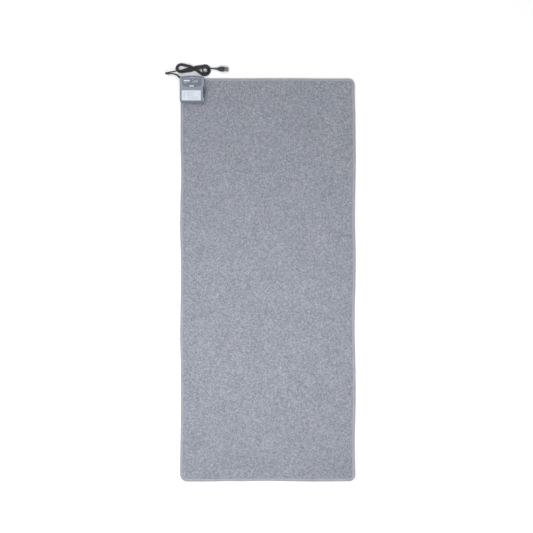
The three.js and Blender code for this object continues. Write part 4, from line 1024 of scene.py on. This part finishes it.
def text_like_rows(low, high, indent, down, short, rows, pitch, thick, seed):
    """Rows of plain bars of uneven length, in place of printed words. All but the label's corners
    is in millimetres, and a block starts and ends away from the left, the head and the right."""
    rng = np.random.default_rng(seed)
    right = high.x - short * MM
    boxes = []
    for row in range(rows):
        x = low.x + indent * MM
        y = high.y - down * MM - pitch * MM * (row + 1)
        while x < right - 3 * MM:
            width = min(rng.uniform(3.0, 9.0) * MM, right - x)
            boxes.append((x, y, width, thick * MM))
            x += width + 1.1 * MM
    return boxes


def rectangle(x, y, width, length, line):
    """The four bars of a rectangle's outline."""
    return [
        (x, y, width, line), (x, y + length - line, width, line),
        (x, y + line, line, length - 2 * line), (x + width - line, y + line, line, length - 2 * line),
    ]


def add_labels():
    # A matt film: nearly white with a cool tint, and a faint paper-like tooth.
    shades = (0.3, srgb(218, 227, 238)), (0.7, srgb(228, 236, 246))
    film = mottled("label_film", shades, (35, 3), (900, 0.015 * MM), roughness=0.38, Coat_Weight=0.15,
                   Coat_Roughness=0.3)
    solid_copy("caution_label_film", "caution_label", film, 0, "label")
    grey = printed("label_ink", srgb(160, 168, 180))
    level = LABEL_HIGH.z
    left, foot, head = LABEL_LOW.x, LABEL_LOW.y, LABEL_HIGH.y
    blocks = [(22, 4, 26, 4, 2.5, 0.8, 3), (22, 17, 30, 3, 2.5, 0.8, 4),
              (22, 27, 12, 3, 2.5, 0.7, 5), (30, 36, 8, 2, 2.5, 0.7, 6)]
    rows = [box for block in blocks for box in text_like_rows(LABEL_LOW, LABEL_HIGH, *block)]
    bars("caution_label_rows", rows, level, grey, 0.3 * MM)
    squares = []
    for k in range(3):
        x, y, size = left + 8 * MM, head - (15.5 + 9.5 * k) * MM, 6.4 * MM
        squares += rectangle(x, y, size, size, 0.7 * MM)
        squares.append((x + 2 * MM, y + 2.6 * MM, 2.4 * MM, 1.2 * MM))
    bars("caution_label_signs", squares, level, grey, 0.1 * MM)
    inset = 1.6 * MM
    width, length = LABEL_HIGH.x - left - 2 * inset, head - foot - 2 * inset
    border = rectangle(left + inset, foot + inset, width, length, 0.5 * MM)
    bars("caution_label_frame", border, level, grey, 0.1 * MM)
    solid_copy("rating_label_film", "rating_label", film, 0, "label")
    under = text_like_rows(RATING_LOW, RATING_HIGH, 4, 3, 6, 11, 2.6, 0.8, 8)
    bars("rating_label_rows", under, RATING_LOW.z - PRINT_THICKNESS, grey, 0.3 * MM)


def add_slide():
    trim = plastic("trim_dark", srgb(84, 86, 98), 0.5)
    middle = (BEZEL_LOW.y + BEZEL_HIGH.y) / 2
    detents = []
    for k in range(-2, 3):
        ends = [
            Vector((x, middle + k * 8 * MM, BEZEL_HIGH.z))
            for x in (BEZEL_LOW.x + 1.2 * MM, BEZEL_HIGH.x + 1 * MM)
        ]
        detents.append(swept_bar(f"detent_{k}", ends, 1.1 * MM, 0.6 * MM, trim))
    solid_copy("slide_bezel_trim", "slide_bezel", trim, 0.35 * MM, "dark_trim", cutters=detents)
    black = plastic("knob_black", srgb(52, 52, 66), 0.42)
    solid_copy("temperature_knob_cap", "temperature_knob", black, 0.55 * MM, "black_plastic", "slider")
    # Four finger ribs on the knob's face: half round, and thinner at both ends.
    centre_y = (KNOB_LOW.y + KNOB_HIGH.y) / 2
    levels = [(KNOB_LOW.z + 1.6 * MM, 0.1), (KNOB_LOW.z + 2.2 * MM, 0.55),
              (KNOB_HIGH.z - 2.2 * MM, 0.55), (KNOB_HIGH.z - 1.6 * MM, 0.1)]
    vertices, faces, sides = [], [], 7
    for k in range(4):
        y = centre_y + (k - 1.5) * 2.1 * MM
        faces += ring_faces(len(levels), sides, len(vertices))
        for z, full in levels:
            for m in range(sides):
                angle = math.pi * m / (sides - 1) - math.pi / 2
                vertices.append((
                    KNOB_HIGH.x - 0.15 * MM + full * MM * math.cos(angle),
                    y + 0.55 * MM * math.sin(angle), z,
                ))
    ribs = new_object("temperature_knob_ribs", vertices, faces, black, sharp=60)
    adopt(ribs, "black_plastic", body="slider")


def add_strain_relief():
    """A tapered, ribbed sleeve that grips the cord where it leaves the case."""
    rubber = plastic("relief_rubber", srgb(40, 42, 50), 0.55, grain=0.03 * MM)
    root = LEAD_ROUTE[0] - RELIEF_AXIS * (16.3 * MM)
    # Distances along and radii in millimetres: inside the case, its collar, five ribs, the tip.
    profile = [(-10.5, 5.6), (-8.1, 5.6), (-8.1, 4.2), (1.0, 4.2), (1.0, 5.3), (2.4, 5.3), (2.7, 4.6)]
    for k in range(5):
        at, outer = 3.3 + k * 2.45, 5.1 - 0.22 * k
        profile += [(at, outer - 0.5), (at + 0.25, outer)]
        profile += [(at + 1.35, outer - 0.1), (at + 1.6, outer - 0.6)]
    profile += [(15.6, 3.65), (16.1, 3.5), (16.25, 3.22)]
    profile = [(along * MM, radius * MM) for along, radius in profile]
    relief = lathe("strain_relief_sleeve", profile, root, RELIEF_AXIS, rubber)
    return adopt(relief, "black_plastic", "strain_relief")


# The moulded plug, in millimetres from the cord's end: distance along, half width, half height.
PLUG_SECTIONS = [
    (0.0, 3.4, 3.4), (0.3, 3.8, 3.8), (2.2, 3.9, 3.9), (2.5, 3.5, 3.5), (3.4, 3.5, 3.5), (3.7, 4.1, 4.1),
    (5.6, 4.2, 4.2), (5.9, 3.8, 3.8), (6.8, 3.8, 3.8), (7.1, 4.4, 4.4), (9.0, 4.5, 4.5), (9.3, 4.0, 4.0),
    (10.2, 4.0, 4.0), (10.5, 4.8, 4.8), (12.6, 5.1, 5.0), (15.0, 6.1, 5.5), (18.0, 7.6, 6.3),
    (21.5, 9.2, 7.2), (25.0, 10.4, 7.8), (29.0, 10.95, 8.0), (33.0, 11.0, 8.0), (38.0, 11.0, 8.0),
    (42.4, 11.0, 8.0), (43.3, 10.8, 7.8), (43.8, 10.3, 7.3), (44.0, 9.6, 6.7),
]


def squarish(value, power):
    """A cosine or a sine made larger or smaller in between, to square a round section's sides."""
    return math.copysign(abs(value) ** power, value)


def add_plug():
    black = plastic("plug_black", srgb(44, 46, 54), 0.45)
    # The plug's own axes: their origin is where the cord enters it.
    root = Vector((TAIL_HIGH.x + 0.3 * MM, (TAIL_LOW.y + TAIL_HIGH.y) / 2 - 0.2 * MM,
                   (PLUG_LOW.z + PLUG_HIGH.z) / 2))
    place = Matrix.Translation(root) @ Matrix.Rotation(PLUG_TURN, 4, "Z")
    sides = 48
    vertices = []
    for along, half_width, half_height in PLUG_SECTIONS:
        power = 2 / (2.0 + 2.2 * min(1.0, max(0.0, (along - 12) / 14)))
        for c, s in round_steps(sides):
            # Finger grips: a shallow hollow in the top and bottom faces.
            grip = math.exp(-((along - 33.5) / 5.0) ** 2) * max(0.0, abs(s) - 0.55)
            y, z = half_width * squarish(c, power), half_height * squarish(s, power)
            vertices.append(place @ (Vector((along, y, z * (1 - 0.32 * grip))) * MM))
    faces = ring_faces(len(PLUG_SECTIONS), sides)
    plug = new_object("plug_moulding", vertices, faces, black, sharp=45)
    adopt(plug, "plug", "plug_body")

    nickel = steel_finish("blade_nickel", (0.72, 0.70, 0.66, 1), 0.22)
    blades = []
    for node in ("plug_blade_left", "plug_blade_right"):
        low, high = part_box(node)
        beside = (place.inverted() @ ((low + high) / 2)).y
        through = place @ Vector((57.6 * MM, beside, 0))
        hole = lathe("blade_hole", [(-4 * MM, 1.6 * MM), (4 * MM, 1.6 * MM)], through,
                     place.to_3x3() @ Vector((0, 1, 0)), nickel, 24)
        blades.append(solid_copy(node + "_nickel", node, nickel, 0.35 * MM, "blade", cutters=[hole]))
    # Clear grey plastic, thin enough to see the blades through.
    shades = (0.3, (0.56, 0.56, 0.59, 1)), (0.7, (0.64, 0.64, 0.67, 1))
    smoky = mottled("cover_smoky", shades, (60, 3), (400, 0.02 * MM), roughness=0.12,
                    Transmission_Weight=0.88, IOR=1.4)
    cover = solid_copy("blade_cover_smoky", "blade_cover", smoky, 0.5 * MM, "clear_cover")
    return [plug, *blades, cover]


def add_tie(route):
    """A twist tie: a flat strip pulled round the strands at the waist, its ends twisted on top."""
    middle = (TIE_LOW.x + TIE_HIGH.x) / 2
    off_cord = 0.45 * MM
    spots = []
    for a, b in zip(route, route[1:]):
        if (a.x - middle) * (b.x - middle) <= 0 and abs(b.x - a.x) > 1e-7 and HANK_LOW.y < a.y:
            centre = a.lerp(b, (middle - a.x) / (b.x - a.x))
            stretch = (b - a).length / abs(b.x - a.x)
            half, tall = CORD_RADIUS * stretch + off_cord, CORD_RADIUS + off_cord
            spots += [(centre.y + half * c, centre.z + tall * s) for c, s in round_steps(24)]
    outline = [Vector((spots[i][0], max(spots[i][1], off_cord))) for i in convex_hull_2d(spots)]
    loop = []
    for a, b in zip(outline, outline[1:] + outline[:1]):
        count = max(1, round((b - a).length / (0.8 * MM)))
        loop += [a.lerp(b, k / count) for k in range(count)]
    half_width, half_thick, sides = 2.1 * MM, 0.4 * MM, 10
    vertices = []
    for i, place in enumerate(loop):
        ahead = loop[(i + 1) % len(loop)] - loop[i - 1]
        out = Vector((ahead.y, -ahead.x)).normalized()
        for c, s in round_steps(sides):
            deep = place + out * half_thick * squarish(s, 0.8)
            vertices.append((middle + half_width * squarish(c, 0.6), *deep))
    black = plastic("tie_black", srgb(34, 35, 40), 0.35, grain=0.01 * MM)
    faces = ring_faces(len(loop), sides, flip=True, closed=True)
    band = adopt(new_object("cord_tie_band", vertices, faces, black), "cord_tie", "cord_tie")

    crest = max(outline, key=lambda p: p.y)
    ends = []
    for number, turn in ((1, 0), (2, math.pi)):
        twist = []
        for k in range(46):
            share = k / 45
            angle = turn + share * 4.5 * math.pi
            spread = (0.75 + (1.6 * (share - 0.78) / 0.22 if share > 0.78 else 0)) * MM
            twist.append(Vector((
                middle + (-1.5 + 13 * share) * MM,
                crest.x + (1.0 + 3.4 * share) * MM + spread * math.cos(angle),
                crest.y + 0.9 * MM - 1.2 * share * MM + 0.75 * MM * math.sin(angle),
            )))
        strand = swept_bar(f"cord_tie_end_{number}", twist, 1.5 * MM, 0.45 * MM, black)
        ends.append(adopt(strand, "cord_tie"))
    return [band, *ends]


def add_inner_parts():
    """The pieces inside the case keep their CAD shapes and get materials of their own."""
    board = Finish("board_green", roughness=0.35, Coat_Weight=0.5)
    tracks = board.cells(260, board.place((1, 1, 0)), randomness=0.4)
    board.colours(tracks, (0.2, srgb(28, 74, 48)), (0.5, srgb(42, 102, 66)))
    board.relief(tracks, 0.03 * MM)
    steel = steel_finish()
    dark = plastic("component_black", srgb(40, 40, 44), 0.5)
    amber = plastic("film_amber", srgb(168, 104, 40), 0.35)
    given = {
        "circuit_board": board.material,
        "heatsink": steel_finish("aluminium_extruded", (0.8, 0.81, 0.82, 1), 0.34),
        "slide_lever": steel_finish("brass_terminal", (0.78, 0.62, 0.33, 1), 0.3),
        "capacitor_1": amber, "capacitor_2": amber,
        "terminal_block": plastic("terminal_green", srgb(46, 112, 84), 0.4),
        "fuse": plastic("fuse_ceramic", srgb(205, 200, 188), 0.4),
        "lead_live": plastic("lead_brown", srgb(92, 54, 34), 0.45),
        "lead_neutral": plastic("lead_blue", srgb(52, 84, 148), 0.45),
        "power_led": plastic("led_red", srgb(170, 38, 34), 0.2),
        "triac": dark, "control_chip": dark, "slide_switch_body": dark, "inner_lead": dark,
        "cord_clamp": dark,
    }
    for name, node in frame["nodes"].items():
        material = steel if "screw" in name else given.get(name)
        if material is not None:
            for slot in node.material_slots:
                slot.material = material


add_mat()
add_case()
add_panel()
add_labels()
add_slide()
add_inner_parts()
cord_line = cord_route()
on_cord = [add_strain_relief(), *add_plug(), *add_tie(cord_line)]
add_cord(cord_line)
